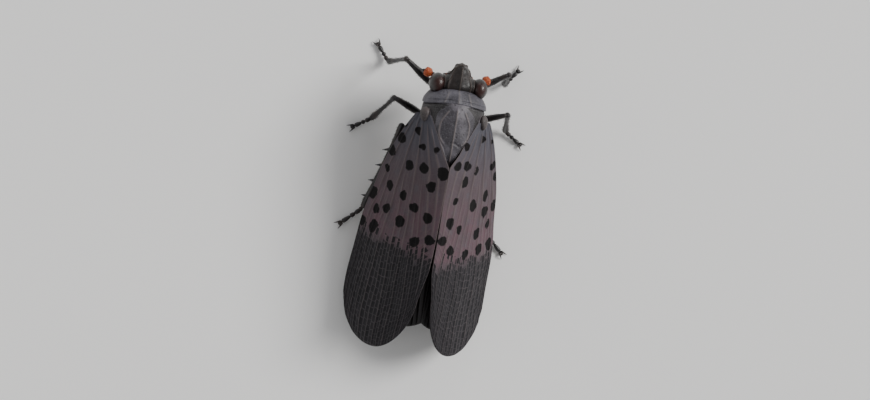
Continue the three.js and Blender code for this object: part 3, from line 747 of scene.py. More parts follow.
@dataclass(frozen=True)
class ForewingFinish:
    """Leathery membrane: mauve grey with black spots, then a slate net of dark cells towards the tip."""

    name: str
    spots: Sequence[Point]  # along, across and radius of each
    net_from: float
    length: float
    rows: float  # of the net's cells, across the wing
    mauve: Colour = (0.082, 0.059, 0.069)
    blue: Colour = (0.071, 0.0695, 0.085)
    rose: Colour = (0.108, 0.0605, 0.0765)
    vein: Colour = (0.1134, 0.0907, 0.0907)
    slate: Colour = (0.0403, 0.0378, 0.0428)
    cell: Colour = (0.011, 0.0105, 0.0125)
    black: Colour = (0.0055, 0.0045, 0.005)
    cell_length: float = 0.62
    row_height: float = 0.3  # with cell_length, the size of a cell in millimetres
    thread_width: Span = (0.018, 0.055)  # how far from its middle a thread fades and ends
    frayed: float = 1.7  # how far single cells of the net lie before or behind its edge
    wavy: float = 2.2  # how far the net's edge swings
    spot_edge: Span = (-0.04, 0.06)
    relief_depth: float = 0.028

    def make(self) -> bpy.types.Material:
        """Spots are discs about listed places on the flat wing; the net is rows of cells between veins.

        Returns:
            The material.
        """
        graph = Graph(self.name)
        plan = graph.flat("plan", PLAN_SCALE)
        along, across = graph.part(plan, "X"), graph.part(plan, "Y")
        cloud = graph.noise(plan, scale=0.45)
        fine = graph.noise(plan, scale=5.0, detail=4.0)
        veins = graph.mark("vein")
        thread, chance = self._net(graph)

        edge = along + across * NET_SLANT + (cloud - 0.5) * self.wavy
        tip = edge.rising(self.net_from - 0.3, self.net_from + 1.2)
        cells = (edge + (chance - 0.5) * self.frayed).rising(self.net_from + 0.1, self.net_from + 0.25)
        dark = cells * (1.0 - thread)

        wandering = graph.drift(plan, scale=1.2, reach=0.62)
        clear: Signal | None = None
        for a, b, radius in self.spots:
            gap = graph.vector("DISTANCE", wandering, (a, b, 0)) - radius
            clear = gap if clear is None else clear.least(gap)
        spot = (clear + (fine - 0.5) * 0.12).falling(*self.spot_edge)

        colour = graph.layered(
            self.blue,
            (along.rising(0.5, 6.5), self.mauve),
            (along.rising(5.5, 10.0) * cloud.rising(0.3, 0.65), self.rose),
            (graph.noise(plan, scale=1.3, detail=4.0).rising(0.45, 0.8) * 0.5, self.blue),
            (thread * 0.22 * along.rising(2.0, 5.0), self.vein),
            (veins.rising(0.25, 0.8) * 0.6, self.vein),
            (tip, graph.layered(self.slate, (cloud * 0.3, self.mauve))),
            (veins.rising(0.3, 0.8) * tip * 0.25, self.vein),
            (dark * (0.8 + chance * 0.2), self.cell),
            (spot, self.black),
        )
        height = thread * (0.25 + tip * 0.75) + fine * 0.3 - spot * 0.2
        return graph.finished(
            Base_Color=colour,
            Roughness=0.6 + spot * 0.25 + dark * 0.06 + (fine - 0.5) * 0.16,
            Normal=graph.relief(height, depth=self.relief_depth),
            Specular_IOR_Level=0.22,
        )

    def _net(self, graph: Graph) -> tuple[Signal, Signal]:
        """The net's threads, which run along the rows' edges and across each row at its own places.

        Args:
            graph: The material's nodes.

        Returns:
            One on a thread and nought in a cell, and a number from 0 to 1 that is each cell's own.
        """
        net = graph.flat("net")
        wobble = graph.noise(net, scale=30.0) - 0.5
        row = graph.part(net, "Y") * self.rows + wobble * 0.25
        own = graph.chance(graph.together(row.whole(), 3.0))
        step = graph.part(net, "X") * (self.length / self.cell_length) * (0.8 + own * 0.5) + own * 9.0
        step = step + wobble * 0.5
        beside = row.off_whole() * self.row_height
        before = step.off_whole() * self.cell_length
        thread = beside.least(before).falling(*self.thread_width)
        return thread, graph.chance(graph.together(row.whole(), step.whole()))


@dataclass(frozen=True)
class HindwingFinish:
    """Thin membrane: red with black spots, a pale band and a black tip."""

    name: str = "hindwing red"
    red: Colour = (0.4, 0.02, 0.018)
    deep: Colour = (0.24, 0.011, 0.013)
    pale: Colour = (0.5, 0.47, 0.45)
    black: Colour = (0.01, 0.0085, 0.0095)
    spots_end: Span = (7.0, 8.5)
    pale_from: Span = (8.6, 9.3)
    black_from: Span = (10.6, 11.3)

    def make(self) -> bpy.types.Material:
        """Bands by how far along the flat wing, spots from cells.

        Returns:
            The material.
        """
        graph = Graph(self.name)
        plan = graph.flat("plan", PLAN_SCALE)
        along = graph.part(plan, "X") + (graph.noise(plan, scale=0.6) - 0.5) * 1.6
        spot = graph.cells(plan, scale=0.55, jitter=0.7).falling(0.3, 0.38)
        colour = graph.layered(
            self.red,
            (graph.noise(plan, scale=1.8), self.deep),
            (spot * along.falling(*self.spots_end), self.black),
            (along.rising(*self.pale_from), self.pale),
            (along.rising(*self.black_from), self.black),
            (graph.mark("vein") * 0.4, self.black),
        )
        grain = graph.noise(plan, scale=7.0)
        return graph.finished(
            Base_Color=colour,
            Roughness=0.42 + grain * 0.15,
            Normal=graph.relief(grain, depth=0.02),
        )


@dataclass(frozen=True)
class PlateFinish:
    """Hard shell with a powdery bloom: two tones in clouds, pale ridges, dark pits and fine wrinkles."""

    name: str
    low: Colour
    high: Colour
    ridge: Colour
    bloom: Colour
    powder: float  # how much of the bloom lies on it
    pit: Colour = (0.025, 0.021, 0.023)
    roughness: float = 0.52
    shine: float = 0.42
    pits: float = 3.4  # cells a millimetre
    depth: float = 0.03

    def make(self) -> bpy.types.Material:
        """Mixes the tones by noise, pits by cells and ridges by the piece's own mark.

        Returns:
            The material.
        """
        graph = Graph(self.name)
        place = graph.millimetres()
        cloud = graph.noise(place, scale=0.8, detail=4.0)
        fine = graph.noise(place, scale=9.0)
        pitted = graph.cells(place, scale=self.pits, jitter=0.9).falling(0.1, 0.3)
        colour = graph.layered(
            self.low,
            (cloud.rising(0.35, 0.68), self.high),
            (pitted * 0.6, self.pit),
            (graph.mark("ridge").rising(0.25, 0.95) * 0.6, self.ridge),
            (fine.rising(0.45, 0.75) * self.powder, self.bloom),
        )
        height = fine * 0.4 - pitted * 0.8 + cloud * 0.5
        return graph.finished(
            Base_Color=colour,
            Roughness=self.roughness + (fine - 0.5) * 0.25,
            Normal=graph.relief(height, depth=self.depth),
            Specular_IOR_Level=self.shine,
        )


@dataclass(frozen=True)
class EyeFinish:
    """Compound eye: dark red brown under a hard gloss, with fine facets in rows."""

    name: str = "eye red brown"
    dark: Colour = (0.0055, 0.0028, 0.0028)
    warm: Colour = (0.034, 0.0085, 0.0065)
    facets: float = 17.0  # to the millimetre
    bands: float = 5.0  # radians of the tone's wave to a millimetre of height

    def make(self) -> bpy.types.Material:
        """Facets are evenly spaced cells; the tone wanders in bands up the eye.

        Returns:
            The material.
        """
        graph = Graph(self.name)
        place = graph.millimetres()
        facet = graph.cells(place, scale=self.facets, jitter=0.25)
        band = (graph.part(place, "Z") * self.bands + graph.noise(place, scale=1.3) * 3.0).wave()
        colour = graph.layered(self.dark, (band.rising(-0.9, 1.1) * 0.8, self.warm))
        return graph.finished(
            Base_Color=colour,
            Roughness=0.24 + facet * 0.2,
            Normal=graph.relief(facet.falling(0.0, 0.7), depth=0.009),
            Coat_Weight=0.3,
            Coat_Roughness=0.16,
            Specular_IOR_Level=0.35,
        )


@dataclass(frozen=True)
class PedicelFinish:
    """The swollen joint of a feeler: orange, pimpled all over."""

    name: str = "feeler orange"
    orange: Colour = (0.62, 0.13, 0.018)
    deep: Colour = (0.3, 0.045, 0.01)

    def make(self) -> bpy.types.Material:
        """Pimples are cells; the tone deepens between them.

        Returns:
            The material.
        """
        graph = Graph(self.name)
        place = graph.millimetres()
        pimple = graph.cells(place, scale=7.5, jitter=0.6)
        gaps, clouds = pimple.rising(0.2, 0.65), graph.noise(place, scale=1.6) * 0.4
        colour = graph.layered(self.orange, (gaps, self.deep), (clouds, self.deep))
        return graph.finished(
            Base_Color=colour,
            Roughness=0.4 + pimple * 0.2,
            Normal=graph.relief(pimple.falling(0.1, 0.6), depth=0.03),
        )


@dataclass(frozen=True)
class ChitinFinish:
    """Black shell of the legs, beak and hairs: satin, with fine wrinkles and a dusting."""

    name: str
    black: Colour = (0.011, 0.0095, 0.011)
    brown: Colour = (0.05, 0.033, 0.028)
    dust: Colour = (0.16, 0.15, 0.155)
    dusting: float = 0.16
    roughness: float = 0.36

    def make(self) -> bpy.types.Material:
        """Tones and dust by noise; the relief is fine noise.

        Returns:
            The material.
        """
        graph = Graph(self.name)
        place = graph.millimetres()
        cloud = graph.noise(place, scale=1.1)
        fine = graph.noise(place, scale=14.0)
        brown, dust = cloud.rising(0.45, 0.75) * 0.6, fine.rising(0.55, 0.8) * self.dusting
        colour = graph.layered(self.black, (brown, self.brown), (dust, self.dust))
        return graph.finished(
            Base_Color=colour,
            Roughness=self.roughness + (fine - 0.5) * 0.3,
            Normal=graph.relief(fine + cloud * 0.4, depth=0.018),
        )


@dataclass(frozen=True)
class AbdomenFinish:
    """Rings of black plate edged with yellow skin, dusted with pale wax towards the tail."""

    name: str = "abdomen bands"
    yellow: Colour = (0.6, 0.4, 0.06)
    amber: Colour = (0.45, 0.22, 0.03)
    black: Colour = (0.016, 0.013, 0.014)
    wax: Colour = (0.5, 0.49, 0.46)

    def make(self) -> bpy.types.Material:
        """The band follows the share of each ring's length, and leaves the sides yellow.

        Returns:
            The material.
        """
        graph = Graph(self.name)
        place = graph.millimetres()
        cloud = graph.noise(place, scale=1.5)
        fine = graph.noise(place, scale=8.0)
        ring = graph.mark("ring") + (cloud - 0.5) * 0.18
        flank = graph.mark("flank")
        plate = ring.rising(0.08, 0.16) * ring.falling(0.66, 0.76) * flank.falling(0.82, 0.95)
        colour = graph.layered(
            self.yellow,
            (cloud.rising(0.35, 0.7), self.amber),
            (plate, self.black),
            (fine.rising(0.5, 0.75) * graph.mark("tail") * 0.6, self.wax),
        )
        return graph.finished(
            Base_Color=colour,
            Roughness=0.45 + fine * 0.2,
            Normal=graph.relief(fine + plate * 0.6, depth=0.03),
        )


@dataclass(frozen=True)
class FloorFinish:
    """Plain pale floor with a hardly seen mottle."""

    tone: float
    name: str = "floor"

    def make(self) -> bpy.types.Material:
        """Two near tones by noise.

        Returns:
            The material.
        """
        graph = Graph(self.name)
        place = graph.millimetres()
        light, dim = ((self.tone * share,) * 3 for share in (1.01, 0.985))
        colour = graph.layered(light, (graph.noise(place, scale=0.02, detail=2.0), dim))
        return graph.finished(Base_Color=colour, Roughness=0.9, Specular_IOR_Level=0.0)


# Pieces


def shown(name: str, data: bpy.types.ID) -> bpy.types.Object:
    """A new object in the scene, at the origin, for a mesh, light or camera.

    Args:
        name: The object's name.
        data: What it shows.

    Returns:
        The object.
    """
    made = bpy.data.objects.new(name, data)
    bpy.context.scene.collection.objects.link(made)
    return made


@dataclass
class Workshop:
    """Puts closed shells into the scene as finished pieces on the frame's one body."""

    stance: Stance
    triangles: int = 0

    def piece(
        self, name: str, shell: Shell, finish: bpy.types.Material, stands_for: str | None = None
    ) -> None:
        """Makes one piece, with its object at the origin and its place in its mesh.

        Args:
            name: The piece's name.
            shell: Its surface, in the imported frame, in millimetres.
            finish: Its material.
            stands_for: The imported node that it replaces.
        """
        mesh = bpy.data.meshes.new(name)
        loops = np.concatenate([shell.quads.ravel(), shell.triangles.ravel()]).astype(np.int32)
        starts = np.concatenate([
            np.arange(len(shell.quads)) * 4,
            len(shell.quads) * 4 + np.arange(len(shell.triangles)) * 3,
        ]).astype(np.int32)
        mesh.vertices.add(len(shell.points))
        mesh.vertices.foreach_set("co", (shell.points * MM).astype(np.float32).ravel())
        mesh.loops.add(len(loops))
        mesh.loops.foreach_set("vertex_index", loops)
        mesh.polygons.add(len(starts))
        mesh.polygons.foreach_set("loop_start", starts)
        mesh.polygons.foreach_set("use_smooth", np.ones(len(starts), bool))
        mesh.update(calc_edges=True)
        for label, places in shell.uv.items():
            layer = mesh.uv_layers.new(name=label)
            layer.data.foreach_set("uv", places[loops].astype(np.float32).ravel())
        for label, values in shell.marks.items():
            attribute = mesh.attributes.new(label, "FLOAT", "POINT")
            attribute.data.foreach_set("value", values.astype(np.float32))
        mesh.materials.append(finish)
        made = shown(name, mesh)
        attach(made, "root")
        if stands_for:
            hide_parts(stands_for)
        count = len(shell.corners())
        self.triangles += count
        log.info("%s: %d triangles", name, count)


@dataclass
class Head:
    """The head capsule with its keels, the eyes and ocelli, the feelers and the beak."""

    middle: Point = (0, -10.7, -0.1)
    lobes: Sequence[tuple[Point, Point]] = (
        ((0, -10.6, 0.05), (1.78, 1.02, 1.5)),
        ((0, -10.95, -1.25), (1.08, 0.66, 1.95)),
        ((0, -11.3, 0.6), (0.85, 1.3, 0.95)),
        ((0, -10.7, -0.85), (1.75, 0.74, 0.95)),
    )
    blend: float = 9.0  # how sharply the lobes meet
    capsule_mesh: Size = (148, 200)
    eye: Point = (1.86, -10.55, 0.42)
    eye_radii: Point = (0.74, 0.92, 1.04)
    eye_mesh: Size = (48, 80)
    rim_at: float = 1.06  # the ridge round an eye, in shares of the eye's radii
    rim_width: float = 0.09
    rim_rise: float = 0.1
    hollow: Sequence[Point] = ((0.3, -11.6, 1.6), (0.4, -10.9, 1.6))  # a shallow trough on the crown
    hollow_width: float = 0.3
    hollow_depth: float = 0.09
    ocellus: Point = (1.1, -11.36, 0.02)
    ocellus_radii: Point = (0.13, 0.13, 0.15)
    # The clypeus, which tapers from the frons to the beak, and the labrum on it
    face: Sequence[Limb] = (
        Limb((0, -11.0, -2.1), (0, -10.3, -3.45), ((0, 0.55), (0.5, 0.54), (1, 0.3)), flatness=0.85),
        Limb((0, -10.75, -2.9), (0, -10.0, -3.85), ((0, 0.3), (0.5, 0.24), (1, 0.12))),
    )
    feeler_root: Point = (1.45, -10.85, -1.08)
    feeler_aim: Point = (0.9, -0.28, 0.02)
    # The lengths of a feeler: where each starts and ends, in millimetres from its root, and its profile
    scape: tuple[Span, Line] = ((0, 0.95), ((0, 0.26), (0.7, 0.22), (1, 0.26)))
    pedicel: tuple[Span, Line] = ((0.78, 1.62), ((0, 0.24), (0.25, 0.38), (0.6, 0.42), (0.9, 0.33), (1, 0.2)))
    bulb: tuple[Span, Line] = ((1.5, 1.78), ((0, 0.1), (0.6, 0.12), (1, 0.05)))
    bristle: tuple[Span, Line] = ((1.66, 2.6), ((0, 0.05), (0.4, 0.035), (1, 0.012)))
    bristle_lift: Point = (0, 0.05, 0.4)  # how far its tip stands off the feeler's line
    bristle_bow: Point = (0, 0, -0.08)
    beak: Sequence[tuple[Point, float]] = (
        ((0, -10.0, -3.78), 0.27),
        ((0, -8.6, -3.4), 0.29),
        ((0, -6.6, -3.1), 0.28),
        ((0, -4.9, -3.02), 0.25),
    )
    # Keels on one side, each as points near the surface, its height and its half width
    keels: Sequence[tuple[Sequence[Point], float, float]] = (
        (((0.3, -12.4, 0.9), (0.5, -12.1, 0.2), (0.62, -11.8, -0.7), (0.72, -11.5, -1.9)), 0.11, 0.09),
        (((0.62, -12.3, 1.15), (1.0, -11.7, 0.55), (1.12, -11.4, -0.3), (1.1, -11.1, -1.9)), 0.13, 0.1),
        (((0.62, -12.3, 1.15), (0.95, -11.6, 1.4), (1.12, -11.0, 1.5), (1.1, -10.2, 1.5)), 0.1, 0.1),
        (((0.0, -12.5, 1.1), (0.35, -12.45, 1.1), (0.62, -12.3, 1.15)), 0.09, 0.1),
        (((0.0, -12.4, 1.35), (0.0, -11.5, 1.6), (0.0, -10.2, 1.6)), 0.05, 0.08),
        (((0.0, -12.45, 0.9), (0.0, -12.1, -0.2), (0.0, -11.6, -1.6)), 0.045, 0.07),
    )

    def reach(self, directions: Array) -> Array:
        """How far the surface is from the head's middle: a soft maximum of where a ray leaves each lobe.

        Args:
            directions: Unit vectors.

        Returns:
            A distance for each.
        """
        total = 0
        for centre, radii in self.lobes:
            offset = (np.array(centre) - self.middle) / radii
            ray = directions / np.array(radii)
            along, square = (ray * offset).sum(-1), (ray * ray).sum(-1)
            leaving = (along + np.sqrt(along**2 - square * ((offset * offset).sum() - 1))) / square
            total = total + leaving**self.blend
        return total ** (1 / self.blend)

    def on_surface(self, points: Array) -> Array:
        """Points carried along their rays from the head's middle to its surface."""
        directions = unit(np.asarray(points, float) - self.middle)
        return self.middle + directions * self.reach(directions)[..., None]

    def capsule(self) -> Shell:
        """The head: directions from pole to pole across the body, times their reach and the keels' height.

        Returns:
            The closed shell, with the keels and eye rims as its mark ridge.
        """
        directions = globe(*self.capsule_mesh)[..., ::-1]
        skin = self.middle + directions * self.reach(directions)[..., None]
        folded = np.abs(skin) * (1, 0, 0) + skin * (0, 1, 1)
        height, mark = np.zeros((2, *self.capsule_mesh))
        steps = np.linspace(0, 1, 24)
        for path, rise, width in self.keels:
            knots = np.linspace(0, 1, len(path))
            fine = np.stack([eased(steps, knots, column) for column in np.array(path).T], -1)
            crest = hump(path_distance(folded, self.on_surface(fine)), width)
            height = np.maximum(height, crest * rise)
            mark = np.maximum(mark, crest)
        from_eye = np.linalg.norm((folded - self.eye) / self.eye_radii, axis=-1)
        rim = hump(from_eye - self.rim_at, self.rim_width)
        hollow = hump(path_distance(folded, self.on_surface(np.array(self.hollow))), self.hollow_width)
        height = height + self.rim_rise * rim - self.hollow_depth * hollow
        sideways = np.array([(1.0, 0, 0), (-1.0, 0, 0)])
        poles = self.middle + sideways * self.reach(sideways)[:, None]
        rings = skin + directions * height[..., None]
        return round_shell(rings, *poles, {"ridge": np.maximum(mark, rim)})

    def eyeball(self, side: Side) -> Shell:
        """One compound eye."""
        return ball(self.eye, self.eye_radii, *self.eye_mesh).on(side)

    def ocelli(self) -> Shell:
        """The two simple eyes, between the eyes and the feelers."""
        bead = ball(self.ocellus, self.ocellus_radii, 12, 20)
        return joined([bead.on(side) for side in Side])

    def feeler(self, side: Side) -> tuple[Shell, Shell]:
        """The scape and bristle in black, and the swollen pedicel.

        Args:
            side: Left or right.

        Returns:
            The black pieces and the orange one.
        """
        root, aim = np.array(self.feeler_root), unit(np.array(self.feeler_aim))

        def length(part: tuple[Span, Line], lift: Point = (0, 0, 0), **more: int | Point) -> Shell:
            """One of the feeler's lengths, its end lifted off the feeler's line."""
            (start, end), profile = part
            return Limb(root + aim * start, root + aim * end + np.array(lift), profile, **more).shell()

        bristle = length(self.bristle, self.bristle_lift, bow=self.bristle_bow)
        black = joined([length(self.scape), length(self.bulb), bristle])
        return black.on(side), length(self.pedicel, rows=36, columns=32).on(side)

    def rostrum(self) -> Shell:
        """The beak, a slightly squared limb for each joint.

        Returns:
            The joints in one shell.
        """
        parts = []
        for (start, near), (end, far) in zip(self.beak, self.beak[1:]):
            profile = ((0, near * 0.82), (0.1, near), (0.85, far), (1, far * 0.8))
            parts.append(Limb(start, end, profile, facets=0.04).shell())
        return joined(parts)

    def build(self, shop: Workshop) -> None:
        """Makes the head's pieces.

        Args:
            shop: Where the pieces go.
        """
        body = shop.stance.body
        plate = PlateFinish(
            "head shell", low=(0.0085, 0.007, 0.007), high=(0.027, 0.021, 0.02), ridge=(0.062, 0.046, 0.04),
            bloom=(0.1, 0.096, 0.1), powder=0.16, pit=(0.005, 0.004, 0.004), roughness=0.42, shine=0.32,
            pits=5.0,
        ).make()
        chitin = ChitinFinish("feeler and beak black").make()
        eye, orange = EyeFinish().make(), PedicelFinish().make()
        amber = PedicelFinish("ocellus amber", (0.35, 0.1, 0.02), (0.2, 0.04, 0.01)).make()
        whole = joined([self.capsule(), *(part.shell() for part in self.face)])
        shop.piece("head_capsule", whole.moved(body), plate, "head")
        shop.piece("ocelli", self.ocelli().moved(body), amber)
        shop.piece("beak", self.rostrum().moved(body), chitin, "rostrum")
        for side in Side:
            word = side.word
            black, swollen = self.feeler(side)
            shop.piece(f"eyeball_{word}", self.eyeball(side).moved(body), eye, f"eye_{word}")
            shop.piece(f"feeler_joint_{word}", swollen.moved(body), orange, f"antenna_{word}")
            shop.piece(f"feeler_{word}", black.moved(body), chitin)


@dataclass(frozen=True)
class Sections:
    """Cross-sections of a trunk part, listed by their place along the body."""

    y: Sequence[float]
    half: Sequence[float]  # half width
    top: Sequence[float]
    keel: Sequence[float]
    boxy: Sequence[float]  # 2 is an ellipse, and more is nearer to a rectangle
    roof: Sequence[float]  # the same for the upper half's height
    arch: float = 0.45  # how far the margins bow forward in the middle of the back

    def rings(self, y: Array, turn: Array, swell: Array | float = 0.0) -> Array:
        """Rounded boxes: x is half times sin^(2/boxy), z leaves the middle by cos^(2/roof or 2/boxy).

        In the upper part y is drawn forward by arch times (1 - the square of x over half).

        Args:
            y: Places along the body.
            turn: Turns round it from the top, in radians.
            swell: Growth in millimetres.

        Returns:
            The points.
        """
        half, top, keel, boxy, roof = (
            eased(y, self.y, values) for values in (self.half, self.top, self.keel, self.boxy, self.roof)
        )
        half, top, keel = half + swell, top + swell, keel - swell
        sine, cosine = np.sin(turn), np.cos(turn)
        middle = (top + keel) / 2
        power = np.where(cosine > 0, 2 / roof, 2 / boxy)
        x = half * np.sign(sine) * np.abs(sine) ** (2 / boxy)
        z = middle + np.sign(cosine) * np.abs(cosine) ** power * (top - keel) / 2
        bow = self.arch * (1 - (x / half) ** 2) * smooth(z - middle, -0.5, (top - middle).min())
        return np.stack([x, y - bow, z], -1)


@dataclass
class Trunk:
    """The collar behind the head and the wing-bearing trunk with its shield and wing-root scales."""

    collar: Sections = Sections(
        y=(-9.95, -9.5, -9.1, -8.75), half=(2.15, 2.55, 2.78, 2.85), top=(1.5, 1.98, 2.25, 2.36),
        keel=(-1.75, -2.05, -2.15, -2.15), boxy=(2.3,) * 4, roof=(2.3, 2.1, 2.0, 1.9),
    )
    collar_span: Span = (-9.98, -8.62)
    collar_mesh: Size = (40, 180)
    collar_groove: float = 0.72  # share along
    collar_edge: float = 0.97
    thorax: Sections = Sections(
        y=(-8.45, -7.4, -5.6, -4.3, -3.0), half=(2.75, 2.85, 2.75, 2.5, 1.9),
        top=(2.42, 2.62, 2.66, 2.5, 1.5), keel=(-2.25, -2.4, -2.45, -2.35, -2.1),
        boxy=(2.3, 2.3, 2.3, 2.3, 2.2), roof=(1.85, 1.7, 1.6, 1.55, 1.8),
    )
    thorax_span: Span = (-8.9, -2.95)
    thorax_mesh: Size = (90, 150)
    thorax_grooves: Sequence[float] = (-7.0, -6.25, -5.1, -4.1)
    groove_slant: float = 0.22
    shelf: float = -0.55  # height of the ledge along the side plates
    shield_span: Span = (-8.78, -3.8)
    shield_mesh: Size = (110, 91)
    # The shield's half width and the height of its middle, by share from front to rear
    shield_half: Line = (
        (0, 2.25), (0.08, 2.45), (0.22, 2.42), (0.4, 1.95), (0.6, 1.2), (0.8, 0.62), (0.93, 0.27), (1, 0.05),
    )
    shield_spine: Line = ((0, 2.42), (0.15, 2.72), (0.4, 2.86), (0.75, 2.86), (0.92, 2.74), (1, 2.52))
    shield_bow: float = 0.42  # how far its front edge bows forward in the middle
    shield_camber: float = 0.235  # fall to the sides, times the square of the distance from the middle
    shield_furrow: float = 0.62  # share along
    shield_rim: float = 0.94  # share of the half width
    tegula: Point = (2.64, -7.8, 1.42)
    scale_radii: Point = (0.66, 0.46, 0.3)
    scale_outward: Point = (0.8, -0.22, 0.56)
    scale_along: Point = (0, -0.4, 1)  # its length is square to this and to outward
    scale_taper: float = 0.3

    def collar_shell(self) -> Shell:
        """The pronotum: a saddle with rolled margins, a middle keel, two short side keels and a groove.

        Returns:
            The closed shell, with its keels and hind edge as its mark ridge.
        """
        share, turn = grid(*self.collar_mesh, wrap=True)
        turn = turn * 2 * math.pi
        y = mix(*self.collar_span, share)
        rolled = -0.32 * fall(share, 0, 0.12) - 0.28 * smooth(share, 0.9, 1)
        flat = self.collar.rings(y, turn)
        x = flat[..., 0]
        above = smooth(flat[..., 2], 0.4, 1.4)
        inner = between(share, (0.08, 0.25), (0.85, 0.95))
        middle_keel = hump(x, 0.1) * above
        side_keels = hump(np.abs(x) - 0.75 - 0.5 * share, 0.1) * above * inner
        groove = hump(share - self.collar_groove, 0.06) * above * (1 - hump(x, 0.3))
        swell = rolled + 0.13 * middle_keel * inner + 0.08 * side_keels - 0.07 * groove
        swell = swell + 0.02 * np.cos(6 * turn) * above * inner
        edge = hump(share - self.collar_edge, 0.05)
        mark = np.maximum(np.maximum(middle_keel, side_keels), edge * 0.8)
        return capped(self.collar.rings(y, turn, swell), {"ridge": mark})

    def thorax_shell(self) -> Shell:
        """The sides and underside, with grooves between the side plates and a trough for the beak.

        Returns:
            The closed shell.
        """
        share, turn = grid(*self.thorax_mesh, wrap=True)
        turn = turn * 2 * math.pi
        y = mix(*self.thorax_span, share)
        flat = self.thorax.rings(y, turn)
        x, z = flat[..., 0], flat[..., 2]
        side = fall(z, 0.6, 1.4)
        slant = y + self.groove_slant * z
        grooves = sum(hump(slant - at, 0.09) for at in self.thorax_grooves) * side
        shelf = hump(z - self.shelf + 0.1 * np.sin(y * 3), 0.08) * side
        trough = hump(x, 0.42) * (z < 0)
        ends = -0.5 * fall(share, 0, 0.06) - 0.25 * smooth(share, 0.95, 1)
        swell = ends - 0.1 * np.clip(grooves, 0, 1) - 0.07 * shelf - 0.22 * trough
        return capped(self.thorax.rings(y, turn, swell), {"ridge": np.zeros(share.shape)})

    def shield(self) -> Shell:
        """The mesonotum: a domed diamond with three keels, whose point lies between the wings.

        Returns:
            The closed sheet, with its keels and rim as its mark ridge.
        """
        share, across = grid(*self.shield_mesh)
        across = across * 2 - 1
        out = np.abs(across)
        half, spine = (eased(share, *zip(*line)) for line in (self.shield_half, self.shield_spine))
        x = half * across
        y = mix(*self.shield_span, share) - self.shield_bow * (1 - across**2) * (1 - share)
        middle_keel = hump(x, 0.09) * smooth(share, 0.04, 0.12)
        keel_at = (0.55 + 0.75 * smooth(share, 0, 0.35)) * fall(share, 0.45, 0.9)
        side_keels = hump(np.abs(x) - keel_at, 0.1) * between(share, (0.05, 0.15), (0.55, 0.75))
        furrow = hump(share - self.shield_furrow - 0.06 * out, 0.02) * (1 - 0.5 * out)
        rim = hump(out - self.shield_rim, 0.06)
        z = spine - self.shield_camber * x**2 + 0.09 * middle_keel + 0.07 * side_keels - 0.07 * furrow
        z = z + 0.06 * rim - 0.2 * smooth(out, 0.96, 1) * np.minimum(half, 1)
        top = np.stack([x, y, z], -1)
        thick = np.minimum(0.35, 0.25 + half * 0.05)
        bottom = top - np.stack([0 * x, 0 * x, thick], -1)
        ridge = np.maximum(np.maximum(middle_keel, side_keels), rim)
        return slab(top, bottom, {}, {"ridge": ridge})

    def scale(self, side: Side) -> Shell:
        """The tegula, a domed scale over the wing's root that narrows to the rear.

        Args:
            side: Left or right.

        Returns:
            The closed shell.
        """
        outward = unit(np.array(self.scale_outward))
        along = unit(np.cross(outward, self.scale_along))
        axes = np.stack([along, np.cross(outward, along), outward])
        dome = ball((0, 0, 0), self.scale_radii, 30, 48)
        dome.points[:, 1] *= 1 + self.scale_taper * dome.points[:, 0] / self.scale_radii[0]
        return dome.moved(lambda points: points @ axes + self.tegula).on(side)

    def build(self, shop: Workshop) -> None:
        """Makes the trunk's pieces.

        Args:
            shop: Where the pieces go.
        """
        body = shop.stance.body
        saddle = PlateFinish(
            "collar shell", low=(0.043, 0.04, 0.05), high=(0.104, 0.099, 0.12),
            ridge=(0.145, 0.13, 0.132), bloom=(0.21, 0.21, 0.235), powder=0.28,
        ).make()
        shield = PlateFinish(
            "shield shell", low=(0.04, 0.036, 0.044), high=(0.112, 0.102, 0.12),
            ridge=(0.165, 0.138, 0.134), bloom=(0.22, 0.215, 0.245), powder=0.28, pits=2.6,
        ).make()
        flank = PlateFinish(
            "flank shell", low=(0.012, 0.0105, 0.012), high=(0.036, 0.031, 0.034),
            ridge=(0.07, 0.06, 0.06), bloom=(0.22, 0.22, 0.22), powder=0.25,
        ).make()
        scale = PlateFinish(
            "wing scale brown", low=(0.03, 0.024, 0.024), high=(0.078, 0.063, 0.062),
            ridge=(0.11, 0.088, 0.082), bloom=(0.17, 0.16, 0.17), powder=0.2,
        ).make()
        shop.piece("collar", self.collar_shell().moved(body), saddle, "pronotum")
        shop.piece("flanks", self.thorax_shell().moved(body), flank, "thorax")
        shop.piece("shield", self.shield().moved(body), shield)
        for side in Side:
            shop.piece(f"wing_scale_{side.word}", self.scale(side).moved(body), scale)


